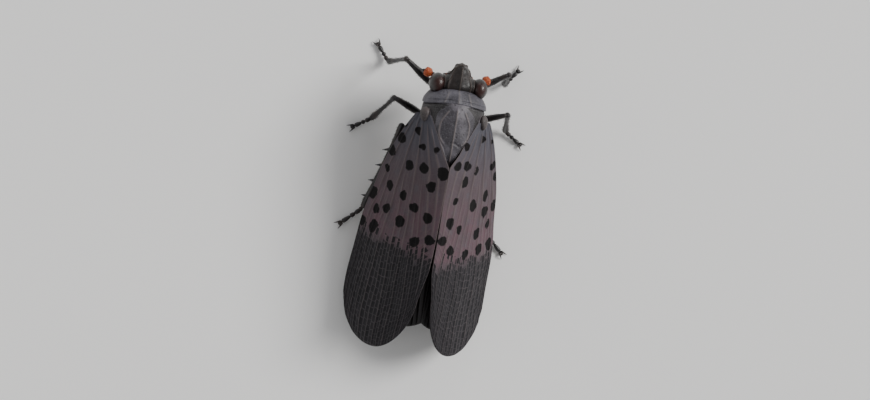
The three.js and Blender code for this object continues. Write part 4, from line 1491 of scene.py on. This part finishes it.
@dataclass
class Abdomen:
    """Seven rings that step in under one another, and the small pieces of the tail."""

    span: Span = (-2.7, 7.7)
    rings: int = 7
    ring_rows: int = 16
    columns: int = 120
    half: float = 2.62
    roof: float = 1.85
    keel: float = 1.95
    step: float = 0.13  # how far a ring steps in under the one before it
    sag: Span = (-0.35, -0.6)  # height of its middle at the front and at the rear
    roundness: float = 2 / 2.2  # power of sine and cosine in a section; 1 is an ellipse
    tube: Limb = Limb((0, 7.3, -0.35), (0, 8.15, -0.5), ((0, 0.5), (0.6, 0.34), (1, 0.2)), flatness=0.8)
    flap: Limb = Limb((0.2, 7.2, -0.8), (0.22, 7.95, -0.85), ((0, 0.3), (0.6, 0.24), (1, 0.1)), flatness=0.7)

    def shell(self) -> Shell:
        """Each ring swells from a step at its front margin; the whole narrows towards the tail.

        A section is half times sine to the power of roundness across, and rise times cosine, below the
        middle to the same power, up and down.

        Returns:
            The closed shell, with what its finish reads as marks.
        """
        share, turn = grid(self.rings * self.ring_rows + 1, self.columns, wrap=True)
        turn = turn * 2 * math.pi
        y = mix(*self.span, share)
        ring = (share * self.rings) % 1.0
        ring[-1] = 1.0
        first = share * self.rings < 1
        swell = mix(0.86, 1, smooth(share, 0, 0.25)) * (1 - 0.72 * smooth(share, 0.35, 1.15))
        step = -self.step * fall(ring, 0.0, 0.14) * np.where(first, 0, 1) - 0.05 * smooth(ring, 0.9, 1)
        ends = fall(share, 0, 0.015) + smooth(share, 0.985, 1)
        step = step + 0.04 * np.sin(ring * math.pi) - 0.3 * ends
        sine, cosine = np.sin(turn), np.cos(turn)
        fold = hump(cosine, 0.14) * 0.1 * (1 - share)
        half = self.half * swell + step - fold
        rise = np.where(cosine > 0, self.roof, self.keel) * swell + step
        power = np.where(cosine > 0, 1.0, self.roundness)
        x = half * np.sign(sine) * np.abs(sine) ** self.roundness
        z = mix(*self.sag, share) + rise * np.sign(cosine) * np.abs(cosine) ** power
        marks = {"ring": ring, "flank": 1 - np.abs(cosine), "tail": smooth(share, 0.55, 1)}
        return capped(np.stack([x, y, z], -1), marks)

    def tail(self) -> Shell:
        """The end tube over two short flaps."""
        flap = self.flap.shell()
        return joined([self.tube.shell(), *(flap.on(side) for side in Side)]).marked(tail=1, ring=0.4)

    def build(self, shop: Workshop) -> None:
        """Makes the abdomen."""
        whole = joined([self.shell(), self.tail()]).moved(shop.stance.body)
        shop.piece("abdomen_rings", whole, AbdomenFinish().make(), "abdomen")


@dataclass(frozen=True)
class Roof:
    """The roof that the wings fold to: its slope grows steadily from the ridge down to the outer edges."""

    base_y: float = -7.8
    height: float = 3.35
    half_gap: float = 0.3
    first_slope: float = math.radians(36)
    growth: float = math.radians(27) / 9.0  # of the slope, for each millimetre down the roof
    droop: float = 0.35  # fall of the rear end at droop_over past droop_from, growing as the square
    droop_from: float = 13.0
    droop_over: float = 8.0
    parting_from: float = 8.0
    parting_power: float = 1.5
    length: float = 21.2

    def place(self, a: Array, b: Array, depth: Array | float, parting: Array | float) -> Array:
        """A flat wing's point on the left side of the roof.

        Args:
            a: Along the body.
            b: Down the roof, whose slope is the first slope plus growth times b.
            depth: Square off the roof.
            parting: How far the wing's tip stands out from the ridge.

        Returns:
            Points in the body frame.
        """
        slope = self.first_slope + self.growth * b
        x = self.half_gap + (np.sin(slope) - math.sin(self.first_slope)) / self.growth
        z = self.height + (np.cos(slope) - math.cos(self.first_slope)) / self.growth
        z = z - self.droop * np.maximum(0, (a - self.droop_from) / self.droop_over) ** 2
        share = np.maximum(0, a - self.parting_from) / (self.length - self.parting_from)
        x = x + parting * share**self.parting_power
        y = self.base_y + a + 0 * b
        return np.stack([x + depth * np.sin(slope), y, z + depth * np.cos(slope)], -1)


@dataclass
class Forewings:
    """The two leathery wings, each a closed sheet with its veins raised on both faces."""

    roof: Roof = Roof()
    mesh: Size = (250, 141)
    base_near: float = 2.3
    base_width: float = 1.6
    tip_centre: Span = (15.9, 3.6)
    tip_reach: float = 5.3
    tip_radii: Span = (3.55, 5.3)  # across, towards the rear margin and the costa
    tip_span: Span = (-68, 68)  # degrees of the tip's ellipse that the wing takes up
    # Degrees at which lines leave the base and reach the tip, at the rear margin and at the costa
    leaving: Span = (-27, 38)
    arriving: Span = (7, -14)
    handles: Span = (5.2, 6.0)  # how far they keep to those angles
    scutellum_reach: float = 4.2
    lip: float = 0.35  # how far the rear margin reaches over the ridge's gap
    lip_spans: tuple[Span, Span] = ((2.8, 4.3), (13, 16))
    partings: dict[Side, float] = either(0.8, 0.25)  # how far each tip stands out from the ridge
    thickness: float = 0.15
    rim_share: float = 0.35  # of the thickness, at the very edge
    net_from: dict[Side, float] = either(12.1, 12.6)
    net_row: float = 0.3  # height of one row of the net's cells
    spot_count: int = 23
    spot_sizes: Span = (0.33, 0.6)
    spot_seed: int = 11
    first_spot: Span = (1.5, 3.2)
    drawn_from: Span = (0.08, 0.05)  # shares along and across
    drawn_to: Span = (0.75, 0.98)
    draws: int = 40
    spot_clearance: float = 0.2  # before the net
    shift_seed: int = 20
    spot_shift: float = 0.14
    vein_width: float = 0.085
    vein_rise: float = 0.085
    cross_width: float = 0.075
    cross_rise: float = 0.06
    cross_mark: float = 0.75
    cross_step: float = 0.011  # share along by which cross veins are set off from one another
    costa_width: float = 0.16
    costa_rise: float = 0.1
    pillow: float = 0.03
    ripple: float = 0.05
    # Main veins: places across at equal steps from base to tip, where they start and end, and their weight
    veins: Sequence[tuple[Sequence[float], float, float, float]] = (
        ((0.13, 0.1, 0.06, 0.04, 0.03), 0.02, 0.64, 0.8),
        ((0.26, 0.22, 0.15, 0.09, 0.07), 0.01, 0.86, 1.0),
        ((0.35, 0.31, 0.25, 0.19, 0.16), 0.3, 1.0, 0.7),
        ((0.41, 0.38, 0.31, 0.26, 0.22), 0.36, 1.0, 0.8),
        ((0.45, 0.43, 0.4, 0.38, 0.36), 0.01, 1.0, 1.0),
        ((0.5, 0.49, 0.47, 0.45, 0.43), 0.4, 1.0, 0.6),
        ((0.6, 0.59, 0.54, 0.51, 0.49), 0.25, 1.0, 0.8),
        ((0.62, 0.61, 0.6, 0.58, 0.56), 0.5, 1.0, 0.6),
        ((0.64, 0.65, 0.66, 0.66, 0.64), 0.01, 1.0, 1.0),
        ((0.72, 0.73, 0.73, 0.73, 0.71), 0.38, 1.0, 0.65),
        ((0.83, 0.83, 0.8, 0.79, 0.78), 0.3, 1.0, 0.8),
        ((0.85, 0.86, 0.86, 0.86, 0.85), 0.45, 1.0, 0.6),
        ((0.87, 0.88, 0.9, 0.91, 0.91), 0.01, 1.0, 1.0),
    )
    cross_veins: Sequence[float] = (0.5, 0.555, 0.61, 0.66, 0.71, 0.755, 0.8, 0.845, 0.89, 0.93)

    def line(self, s: Array, t: Array) -> tuple[Array, Array]:
        """A cubic from the base to the tip's ellipse, at a share along s and a share across t.

        Args:
            s: Share along.
            t: Share across.

        Returns:
            Along and across, in millimetres.
        """
        around = np.radians(mix(*self.tip_span, t))
        start = np.stack([0 * t, self.base_near + self.base_width * t])
        radii = np.stack([0 * t + self.tip_reach, np.where(around < 0, *self.tip_radii)])
        middle = np.array(self.tip_centre).reshape(2, *[1] * t.ndim)
        end = middle + radii * [np.cos(around), np.sin(around)]
        out, home = np.radians(mix(*self.leaving, t)), np.radians(mix(*self.arriving, t))
        near = start + self.handles[0] * np.stack([np.cos(out), np.sin(out)])
        far = end - self.handles[1] * np.stack([np.cos(home), np.sin(home)])
        weights = ((1 - s) ** 3, 3 * (1 - s) ** 2 * s, 3 * (1 - s) * s**2, s**3)
        return tuple(sum(weight * point for weight, point in zip(weights, (start, near, far, end))))

    def rear_margin(self, a: Array) -> Array:
        """How far the rear edge is from the ridge: open round the scutellum, then on it, then off it.

        Args:
            a: Along the wing.

        Returns:
            The edge's place across.
        """
        opening = self.base_near * np.maximum(0, 1 - a / self.scutellum_reach) ** 1.25
        back = np.maximum(0, (a - self.tip_centre[0]) / self.tip_reach)
        tip = self.tip_centre[1] - self.tip_radii[0] * np.sqrt(np.maximum(0, 1 - back**2))
        return opening + np.where(back > 0, tip, 0)

    def plan(self, s: Array, t: Array) -> tuple[Array, Array]:
        """The flat wing, its rear edge drawn to the rear margin and reaching over the ridge's gap.

        Args:
            s: Share along.
            t: Share across.

        Returns:
            Along and across, in millimetres.
        """
        a, b = self.line(s, t)
        edge_a, edge_b = self.line(s, 0 * t)
        b = b + (self.rear_margin(edge_a) - edge_b) * (1 - t) ** 3
        return a, b - self.lip * between(edge_a, *self.lip_spans) * (1 - t) ** 8

    def vein_lines(self, s: Array) -> list[Array]:
        """Each main vein's place across at a share along, drawn smoothly through its listed places."""
        return [eased(s, np.linspace(0, 1, 5), vein[0]) for vein in self.veins]

    def rows(self, s: Array, t: Array) -> Array:
        """A count of the net's rows from the rear margin, whole on every vein.

        Between two veins it grows evenly, by as many rows as their spacing near the tip holds.

        Args:
            s: Share along.
            t: Share across.

        Returns:
            The count, whose largest value is the number of rows.
        """
        bounds = [0 * s, *self.vein_lines(s), 0 * s + 1]
        counts = [
            max(1, round(float((high - low)[-60:].mean()) * sum(self.tip_radii) / self.net_row))
            for low, high in zip(bounds, bounds[1:])
        ]
        return sum(
            np.clip((t - low) / (high - low), 0, 1) * count
            for low, high, count in zip(bounds, bounds[1:], counts)
        )

    def spots(self, side: Side) -> list[Point]:
        """Places and radii of the spots: each is the farthest of the drawn places from those before it.

        Args:
            side: Left or right; the two share one draw, and each spot is then shifted a little.

        Returns:
            Along, across and radius, each in millimetres.
        """
        draw = np.random.default_rng(self.spot_seed)
        places = np.array([self.first_spot])
        while len(places) < self.spot_count:
            s, t = draw.uniform(self.drawn_from, self.drawn_to, (self.draws, 2)).T
            tries = np.stack(self.plan(s, t), -1)
            before_net = self.net_from[side] - tries @ (1, NET_SLANT)
            tries = tries[before_net > self.spot_clearance]
            clear = np.linalg.norm(tries[:, None] - places, axis=-1).min(1)
            places = np.append(places, tries[clear.argmax()][None], axis=0)
        own = np.random.default_rng(self.shift_seed + side.value)
        places = places + own.normal(0, self.spot_shift, places.shape)
        sizes = draw.uniform(*self.spot_sizes, len(places)) * smooth(places[:, 0], -3, 5)
        return [(float(a), float(b), float(radius)) for (a, b), radius in zip(places, sizes)]

    def relief(self, s: Array, t: Array, width: Array) -> tuple[Array, Array]:
        """Vein height and mark: ridges about each vein's line, cross veins between them, and soft cells.

        Args:
            s: Share along.
            t: Share across.
            width: The wing's width at s in millimetres.

        Returns:
            Height in millimetres, and a mark that is 1 on a vein's crest.
        """
        crest, height = np.zeros((2, *s.shape))
        lines = self.vein_lines(s)
        for (_, start, end, weight), across in zip(self.veins, lines):
            near = smooth(s, start, start + 0.08) * (1 - smooth(s, end - 0.06, end) * (end < 1))
            ridge = hump((t - across) * width, self.vein_width) * near * weight
            crest, height = np.maximum(crest, ridge), np.maximum(height, ridge * self.vein_rise)
        bounds = [0 * s, *lines, 0 * s + 1]
        for number, at in enumerate(self.cross_veins):
            for cell, (low, high) in enumerate(zip(bounds, bounds[1:])):
                inside = (t >= low) & (t < high)
                place = at + self.cross_step * ((cell * 7 + number * 3) % 5 - 2)
                ridge = hump((s - place) * self.roof.length, self.cross_width)
                ridge = ridge * inside * self.cross_mark * smooth(s, 0.42, 0.6)
                crest, height = np.maximum(crest, ridge), np.maximum(height, ridge * self.cross_rise)
        margin = np.minimum(t, 1 - t) * width
        costa = hump((1 - t) * width, self.costa_width)
        crest = np.maximum(crest, 0.7 * hump(margin, 0.1))
        height = np.maximum(height, self.costa_rise * costa) * fall(s, 0.97, 1)
        pillow = self.pillow * np.sin(s * 41 + 9 * t) * np.sin(t * 31 + 3 * s) * smooth(margin, 0, 0.8)
        return height + pillow, crest

    def shell(self, side: Side) -> Shell:
        """One wing: the flat plan on the roof, with the relief added above and half of it below.

        Args:
            side: Left or right.

        Returns:
            The closed sheet, with its UV maps and the mark vein.
        """
        s, t = grid(*self.mesh)
        a, b = self.plan(s, t)
        width = mix(self.base_width + 1, sum(self.tip_radii), smooth(s, -0.1, 0.7))
        height, crest = self.relief(s, t, width)
        margin = np.minimum(np.minimum(t, 1 - t) * width, (1 - s) * self.roof.length)
        half = self.thickness / 2 * mix(self.rim_share, 1, smooth(margin, 0, 0.25))
        ripple = self.ripple * np.sin(a * 0.9 + b * 0.5 + side.value) * smooth(a, 3, 9)
        parting = self.partings[side]
        top = self.roof.place(a, b, ripple + half + height, parting)
        bottom = self.roof.place(a, b, ripple - half - height * 0.5, parting)
        rows = self.rows(s, t)
        uv = {"plan": np.stack([a, b], -1) / PLAN_SCALE, "net": np.stack([s, rows / rows.max()], -1)}
        return slab(top, bottom, uv, {"vein": crest}).on(side)

    def build(self, shop: Workshop) -> None:
        """Makes both wings.

        Args:
            shop: Where the pieces go.
        """
        steps = self.mesh[0]
        rows = float(self.rows(np.linspace(0, 1, steps), np.ones(steps)).max())
        for side in Side:
            word, spots = side.word, self.spots(side)
            finish = ForewingFinish(f"forewing {word}", spots, self.net_from[side], self.roof.length, rows)
            shell = self.shell(side).moved(shop.stance.body)
            shop.piece(f"forewing_sheet_{word}", shell, finish.make(), f"forewing_{word}")


@dataclass
class Hindwings:
    """The thin red wings, pleated under the forewings."""

    forewings: Forewings
    mesh: Size = (120, 133)
    span: Span = (3.5, 18.9)  # along the flat wing
    near: dict[Side, float] = either(0.0, 0.18)  # place of the inner edge across
    depths: dict[Side, float] = either(-0.64, -0.8)  # below the roof
    pleats: int = 11
    pleat: float = 0.13
    crease_rise: float = 0.03
    thickness: float = 0.09

    def shell(self, side: Side) -> Shell:
        """A sheet on the roof below the forewing, whose depth goes up and down in pleats across it.

        Its inner edge stays by the ridge where the forewings part, so that it shows dark between them,
        and the left wing's edge lies over the right one's.

        Args:
            side: Left or right.

        Returns:
            The closed sheet.
        """
        s, t = grid(*self.mesh)
        near = self.near[side] + 1.7 * fall(s, 0, 0.2)
        far = 3.9 + 3.1 * smooth(s, 0, 0.55) - 2.6 * smooth(s, 0.7, 1)
        a = mix(*self.span, s) - 0.8 * smooth(s, 0.8, 1) * (2 * t - 1) ** 2
        b = mix(near, far, t)
        fold = np.abs(((t * self.pleats) % 1) * 2 - 1)
        crest = hump(fold - 1, 0.12)
        depth = self.depths[side] + self.pleat * (fold - 0.5) * smooth(s, 0, 0.2)
        parting = self.forewings.partings[side] * smooth(b, 0, 4)
        roof = self.forewings.roof
        top = roof.place(a, b, depth + self.thickness / 2 + crest * self.crease_rise, parting)
        bottom = roof.place(a, b, depth - self.thickness / 2, parting)
        uv = {"plan": np.stack([a, b], -1) / PLAN_SCALE}
        return slab(top, bottom, uv, {"vein": crest}).on(side)

    def build(self, shop: Workshop) -> None:
        """Makes both hindwings.

        Args:
            shop: Where the pieces go.
        """
        finish = HindwingFinish().make()
        for side in Side:
            word, shell = side.word, self.shell(side).moved(shop.stance.body)
            shop.piece(f"hindwing_sheet_{word}", shell, finish, f"hindwing_{word}")


@dataclass
class Leg:
    """One leg: coxa, trochanter, femur, tibia, three tarsal joints, pad, claws, spurs and hairs."""

    pair: Pair
    hip: Point
    aim: Point  # the coxa's direction
    coxa: float
    knee: Point
    ankle: Point
    toe: Span
    girth: float
    spurs: int = 0
    toe_height: float = 0.24
    # Profiles, the thigh's and shin's as shares of the girth
    hip_profile: Line = ((0, 0.5), (0.45, 0.52), (0.8, 0.42), (1, 0.28))
    ring_profile: Line = ((0, 0.27), (0.5, 0.33), (1, 0.24))
    thigh_profile: Line = ((0, 0.2), (0.15, 0.33), (0.45, 0.42), (0.8, 0.33), (0.93, 0.29), (1, 0.24))
    shin_profile: Line = ((0, 0.24), (0.05, 0.27), (0.14, 0.22), (0.7, 0.22), (0.94, 0.28), (1, 0.24))
    tarsus_profile: Line = ((0, 0.13), (0.25, 0.19), (0.8, 0.23), (1, 0.18))
    tarsus_marks: Sequence[float] = (0, 0.38, 0.6, 1.0)  # shares from ankle to toe
    pad_radii: Point = (0.21, 0.21, 0.17)
    claw_profile: Line = ((0, 0.1), (0.4, 0.075), (1, 0.015))
    claw_bow: Point = (0, 0, 0.13)
    spur_profile: Line = ((0, 0.17), (0.5, 0.1), (1, 0.012))
    spur_places: Span = (0.28, 0.19)  # the first one's share down the shin, and the step to the next
    spine_profile: Line = ((0, 0.05), (1, 0.01))
    spines: int = 6
    thigh_hairs: tuple[int, float] = (260, 0.14)  # how many, and how long
    shin_hairs: tuple[int, float] = (420, 0.19)
    hair_girth: float = 0.0095

    def joints(self, side: Side, shift: Span, stance: Stance) -> tuple[Array, ...]:
        """The leg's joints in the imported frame.

        Args:
            side: Left or right.
            shift: How far this foot is moved from its twin's mirror image.
            stance: Where the body frame stands.

        Returns:
            The coxa's direction, then the hip, the trochanter, the knee, the ankle and the toe.
        """
        mirror = np.array([side.value, 1, 1])
        foot = np.array([*shift, 0])
        aim = unit(stance.heading(unit(np.array(self.aim)) * mirror))
        hip = stance.body(np.array(self.hip) * mirror)
        knee = stance.floor(np.array(self.knee) * mirror)
        ankle = stance.floor((np.array(self.ankle) + foot) * mirror)
        toe = stance.floor((np.array([*self.toe, self.toe_height]) + foot) * mirror)
        return aim, hip, hip + aim * (0.3 + self.coxa), knee, ankle, toe

    def shell(self, side: Side, shift: Span, stance: Stance, seed: int) -> Shell:
        """The whole leg.

        Args:
            side: Left or right.
            shift: How far this foot is moved from its twin's mirror image.
            stance: Where the body frame stands.
            seed: Seed of the hairs' places.

        Returns:
            The leg's closed surfaces in one shell.
        """
        aim, hip, troch, knee, ankle, toe = self.joints(side, shift, stance)
        thigh_profile, shin_profile = (
            [(share, radius * self.girth) for share, radius in profile]
            for profile in (self.thigh_profile, self.shin_profile)
        )
        coxa = Limb(hip - aim * 0.75, troch, self.hip_profile, flatness=0.92)
        ring = Limb(troch - aim * 0.3, mix(troch, knee, 0.1), self.ring_profile)
        thigh = Limb(
            mix(troch, knee, 0.03), knee, thigh_profile, bow=(0, 0, 0.1), flatness=0.78, rows=48, columns=24,
        )
        shin = Limb(mix(knee, ankle, -0.035), ankle, shin_profile, facets=0.07, rows=56, columns=24)
        return joined([
            *(limb.shell() for limb in (coxa, ring, thigh, shin)),
            *self.foot(ankle, toe),
            *(spine.shell() for spine in self.tibia_spines(knee, ankle, side)),
            self.hairs(thigh, *self.thigh_hairs, seed),
            self.hairs(shin, *self.shin_hairs, seed + 1),
        ])

    def foot(self, ankle: Array, toe: Array) -> list[Shell]:
        """Three flared joints from the ankle to the toe, a pad and two hooked claws.

        Args:
            ankle: Where the foot starts.
            toe: Where its last joint ends.

        Returns:
            Its pieces.
        """
        parts = []
        for near, far in zip(self.tarsus_marks, self.tarsus_marks[1:]):
            start, end = mix(ankle, toe, max(0, near - 0.03)), mix(ankle, toe, far)
            parts.append(Limb(start, end, self.tarsus_profile, flatness=0.85, rows=20, columns=18).shell())
        level = np.array([1, 1, 0])
        heading = unit((toe - ankle) * level)
        across = np.array([-heading[1], heading[0], 0])
        pad = (toe + heading * 0.16) * level + (0, 0, self.pad_radii[2])
        parts.append(ball(tuple(pad), self.pad_radii, 12, 20))
        for sign in (1, -1):
            start = toe + across * (0.1 * sign)
            tip = (toe + heading * 0.62 + across * (0.33 * sign)) * level + (0, 0, 0.05)
            parts.append(Limb(start, tip, self.claw_profile, bow=self.claw_bow, rows=18, columns=12).shell())
        return parts

    def tibia_spines(self, knee: Array, ankle: Array, side: Side) -> list[Limb]:
        """Spurs down the outer side of a hind shin, and a crown of short spines at its end.

        Args:
            knee: The shin's start.
            ankle: Its end.
            side: Left or right.

        Returns:
            The spurs and spines, none for a leg without spurs.
        """
        if not self.spurs:
            return []
        out = unit(np.array([0.8 * side.value, -0.1, -0.25]))
        along = unit(ankle - knee)
        across = unit(np.cross(along, out))
        first, step = self.spur_places
        limbs = []
        for number in range(self.spurs):
            root = mix(knee, ankle, first + step * number)
            tip = mix(root + out * 0.72, ankle, 0.04)
            limbs.append(Limb(root, tip, self.spur_profile, rows=16, columns=12))
        for turn in np.linspace(-1.2, 1.2, self.spines):
            spread = unit(out * math.cos(turn) + across * math.sin(turn))
            root = ankle - along * 0.1 + spread * 0.16
            limbs.append(Limb(root, root + (along + spread) * 0.16, self.spine_profile, rows=8, columns=8))
        return limbs

    def hairs(self, limb: Limb, count: int, length: float, seed: int) -> Shell:
        """Short hairs that lean towards the foot, spread over a limb by a seeded draw.

        Args:
            limb: What they stand on.
            count: How many.
            length: How long.
            seed: The draw's seed.

        Returns:
            All the hairs.
        """
        roots, normals = surface_samples(limb.shell(), count, seed)
        along = unit(np.asarray(limb.end, float) - np.asarray(limb.start, float))
        draw = np.random.default_rng(seed + 50)
        lengths = length * draw.uniform(0.6, 1.15, count)
        droop = along * (lengths * 0.25)[:, None]
        return bristles(roots, normals + along, lengths, self.hair_girth, droop)


@dataclass
class Legs:
    """The six legs and how each foot differs from its twin."""

    legs: Sequence[Leg] = (
        Leg(
            Pair.FRONT, hip=(1.15, -9.45, -2.3), aim=(0.35, -0.25, -0.9), coxa=0.7,
            knee=(4.6, -12.1, 5.9), ankle=(5.5, -11.9, 0.5), toe=(6.5, -13.2), girth=0.92,
        ),
        Leg(
            Pair.MIDDLE, hip=(1.5, -6.9, -2.45), aim=(0.45, -0.15, -0.85), coxa=0.7,
            knee=(5.1, -8.6, 5.5), ankle=(6.1, -7.0, 0.5), toe=(7.5, -6.1), girth=0.95,
        ),
        Leg(
            Pair.HIND, hip=(1.55, -4.2, -2.35), aim=(0.6, -0.25, -0.75), coxa=0.6,
            knee=(3.95, -6.25, 4.25), ankle=(5.65, 1.7, 0.55), toe=(7.3, 3.2), girth=1.0, spurs=4,
        ),
    )
    first_seed: int = 100
    shifts: dict[Side, dict[Pair, Span]] = either(
        {Pair.FRONT: (0, 0), Pair.MIDDLE: (0.15, 0.35), Pair.HIND: (0.2, -0.25)},
        {Pair.FRONT: (-0.2, 0.45), Pair.MIDDLE: (-0.1, -0.3), Pair.HIND: (-0.1, 0.35)},
    )

    def build(self, shop: Workshop) -> None:
        """Makes the legs.

        Args:
            shop: Where the pieces go.
        """
        finish = ChitinFinish("leg black").make()
        for side in Side:
            for number, leg in enumerate(self.legs):
                seed = self.first_seed + 10 * number + side.value
                shell = leg.shell(side, self.shifts[side][leg.pair], shop.stance, seed)
                name = f"{leg.pair.value}_{side.word}"
                shop.piece(f"limb_{name}", shell, finish, f"leg_{name}")


# Setting


@dataclass
class Setting:
    """The floor, the soft lights and the camera, with places and sizes in metres."""

    lens: float = 100.0  # this and the sensor's width in millimetres
    sensor: float = 36.0
    fill: float = 0.83  # share of the picture's height that the insect takes
    sideways: float = math.radians(8.6)  # how far the camera leans over to the insect's left
    roll: float = math.radians(8.5)  # how far the head leans to the right in the picture
    horizon: float = 0.84  # brightness of the surround at the horizon, and so of the floor
    overhead: float = 0.33  # the same straight up
    fading: Span = (0.06, 0.55)  # sines of the heights between which one becomes the other
    key: float = 2.8
    key_colour: Colour = (1.0, 0.985, 0.96)
    key_width: float = math.radians(26)  # how softly its shadows end
    key_height: float = math.radians(38)
    key_turn: float = math.radians(28)  # from the insect's right towards its head
    # Soft boxes that shine in the gloss: place, size, and power in watts
    boxes: Sequence[tuple[str, Point, float, float]] = (
        ("box_right", (-0.22, -0.1, 0.26), 0.16, 0.16),
        ("box_front", (0.08, -0.4, 0.14), 0.2, 0.12),
        ("box_left", (0.3, 0.06, 0.2), 0.2, 0.08),
    )
    box_aim: Point = (0, 0, 0.004)
    camera_height: float = 0.005  # of the point that the camera looks at
    clip: Span = (0.005, 60)
    floor_reach: float = 24.0
    floor_corners: int = 96

    def floor_tone(self) -> float:
        """The tone at which the floor looks as bright as the horizon, so that no edge shows between them.

        It is the horizon's brightness over the light on the floor: twice the surround's mean brightness
        weighted by the sine of its height, plus the key times the sine of its height over pi.

        Returns:
            The tone, from 0 to 1.
        """
        height = np.linspace(0, 1, 400)
        level = mix(self.horizon, self.overhead, smooth(height, *self.fading))
        key = self.key * math.sin(self.key_height) / math.pi
        return self.horizon / (2 * float((level * height).mean()) + key)

    def floor(self) -> None:
        """A round pale floor that reaches past every view."""
        turn = np.arange(self.floor_corners) * 2 * math.pi / self.floor_corners
        mesh = bpy.data.meshes.new("floor")
        points = np.stack([np.cos(turn), np.sin(turn), 0 * turn], -1) * self.floor_reach
        mesh.from_pydata(points.tolist(), [], [list(range(self.floor_corners))])
        mesh.materials.append(FloorFinish(self.floor_tone()).make())
        shown("floor", mesh)

    def lights(self) -> None:
        """A broad key from the insect's right, and the weak boxes round it."""
        lamp = bpy.data.lights.new("key", "SUN")
        lamp.energy, lamp.angle, lamp.color = self.key, self.key_width, self.key_colour
        level = math.cos(self.key_height)
        towards = Vector((
            -level * math.cos(self.key_turn), -level * math.sin(self.key_turn), math.sin(self.key_height),
        ))
        shown("key", lamp).rotation_euler = towards.to_track_quat("Z", "Y").to_euler()
        for name, place, size, watts in self.boxes:
            lamp = bpy.data.lights.new(name, "AREA")
            lamp.size, lamp.energy = size, watts
            box = shown(name, lamp)
            box.location = place
            away = Vector(place) - Vector(self.box_aim)
            box.rotation_euler = (-away).to_track_quat("-Z", "Y").to_euler()

    def surround(self) -> None:
        """A white surround, pale at the horizon and dimmer overhead."""
        world = bpy.data.worlds.new("surround")
        world.use_nodes = True
        nodes = Nodes(world.node_tree)
        height = nodes.part(nodes.node("ShaderNodeTexCoord", output="Generated"), "Z")
        level = self.horizon + height.rising(*self.fading) * (self.overhead - self.horizon)
        light = nodes.node("ShaderNodeBackground", inputs={"Color": (1.0, 1.0, 1.0), "Strength": level})
        nodes.node("ShaderNodeOutputWorld", inputs={"Surface": light}, output=None)
        bpy.context.scene.world = world

    def camera(self) -> None:
        """The photograph's angle: almost straight down on the back, from a little to the insect's left.

        It stands back as far as the insect's height in the picture asks: the length times the roll's
        cosine plus the width times its sine, over the share that it fills.
        """
        low, high = (np.array(corner) for corner in CAD_BOX)
        aim = np.array([*((low + high) / 2)[:2], self.camera_height])
        offset = np.array([math.sin(self.sideways), 0, math.cos(self.sideways)])
        head = np.array([0.0, -1.0, 0.0])
        right = np.cross(-offset, head)
        up = math.cos(self.roll) * head - math.sin(self.roll) * right
        across = math.sin(self.roll) * head + math.cos(self.roll) * right
        length, width = high[1] - low[1], high[0] - low[0]
        tall = length * math.cos(self.roll) + width * math.sin(self.roll)
        picture_height = tall / self.fill
        picture_share = self.sensor / self.lens * IMAGE_SIZE[1] / IMAGE_SIZE[0]
        distance = picture_height / picture_share
        data = bpy.data.cameras.new("camera")
        data.lens, data.sensor_width = self.lens, self.sensor
        data.clip_start, data.clip_end = self.clip
        made = shown("camera", data)
        axes = Matrix((across, up, offset)).transposed().to_4x4()
        made.matrix_world = Matrix.Translation(Vector(aim + offset * distance)) @ axes
        bpy.context.scene.camera = made

    def build(self) -> None:
        """Makes the setting."""
        self.floor()
        self.lights()
        self.surround()
        self.camera()


def main() -> None:
    """Builds the setting and every sub-assembly in order."""
    logging.basicConfig(level=logging.INFO, format="%(name)s: %(message)s")
    head = Head()
    shop = Workshop(Stance.measured(head.eye))
    log.info("body frame shifted by %.3f, %.3f mm", *shop.stance.shift)
    Setting().build()
    forewings = Forewings()
    for assembly in (head, Trunk(), Abdomen(), forewings, Hindwings(forewings), Legs()):
        assembly.build(shop)
        log.info("%s done", type(assembly).__name__)
    log.info("whole model: %d triangles", shop.triangles)


if __name__ == "__main__":
    main()
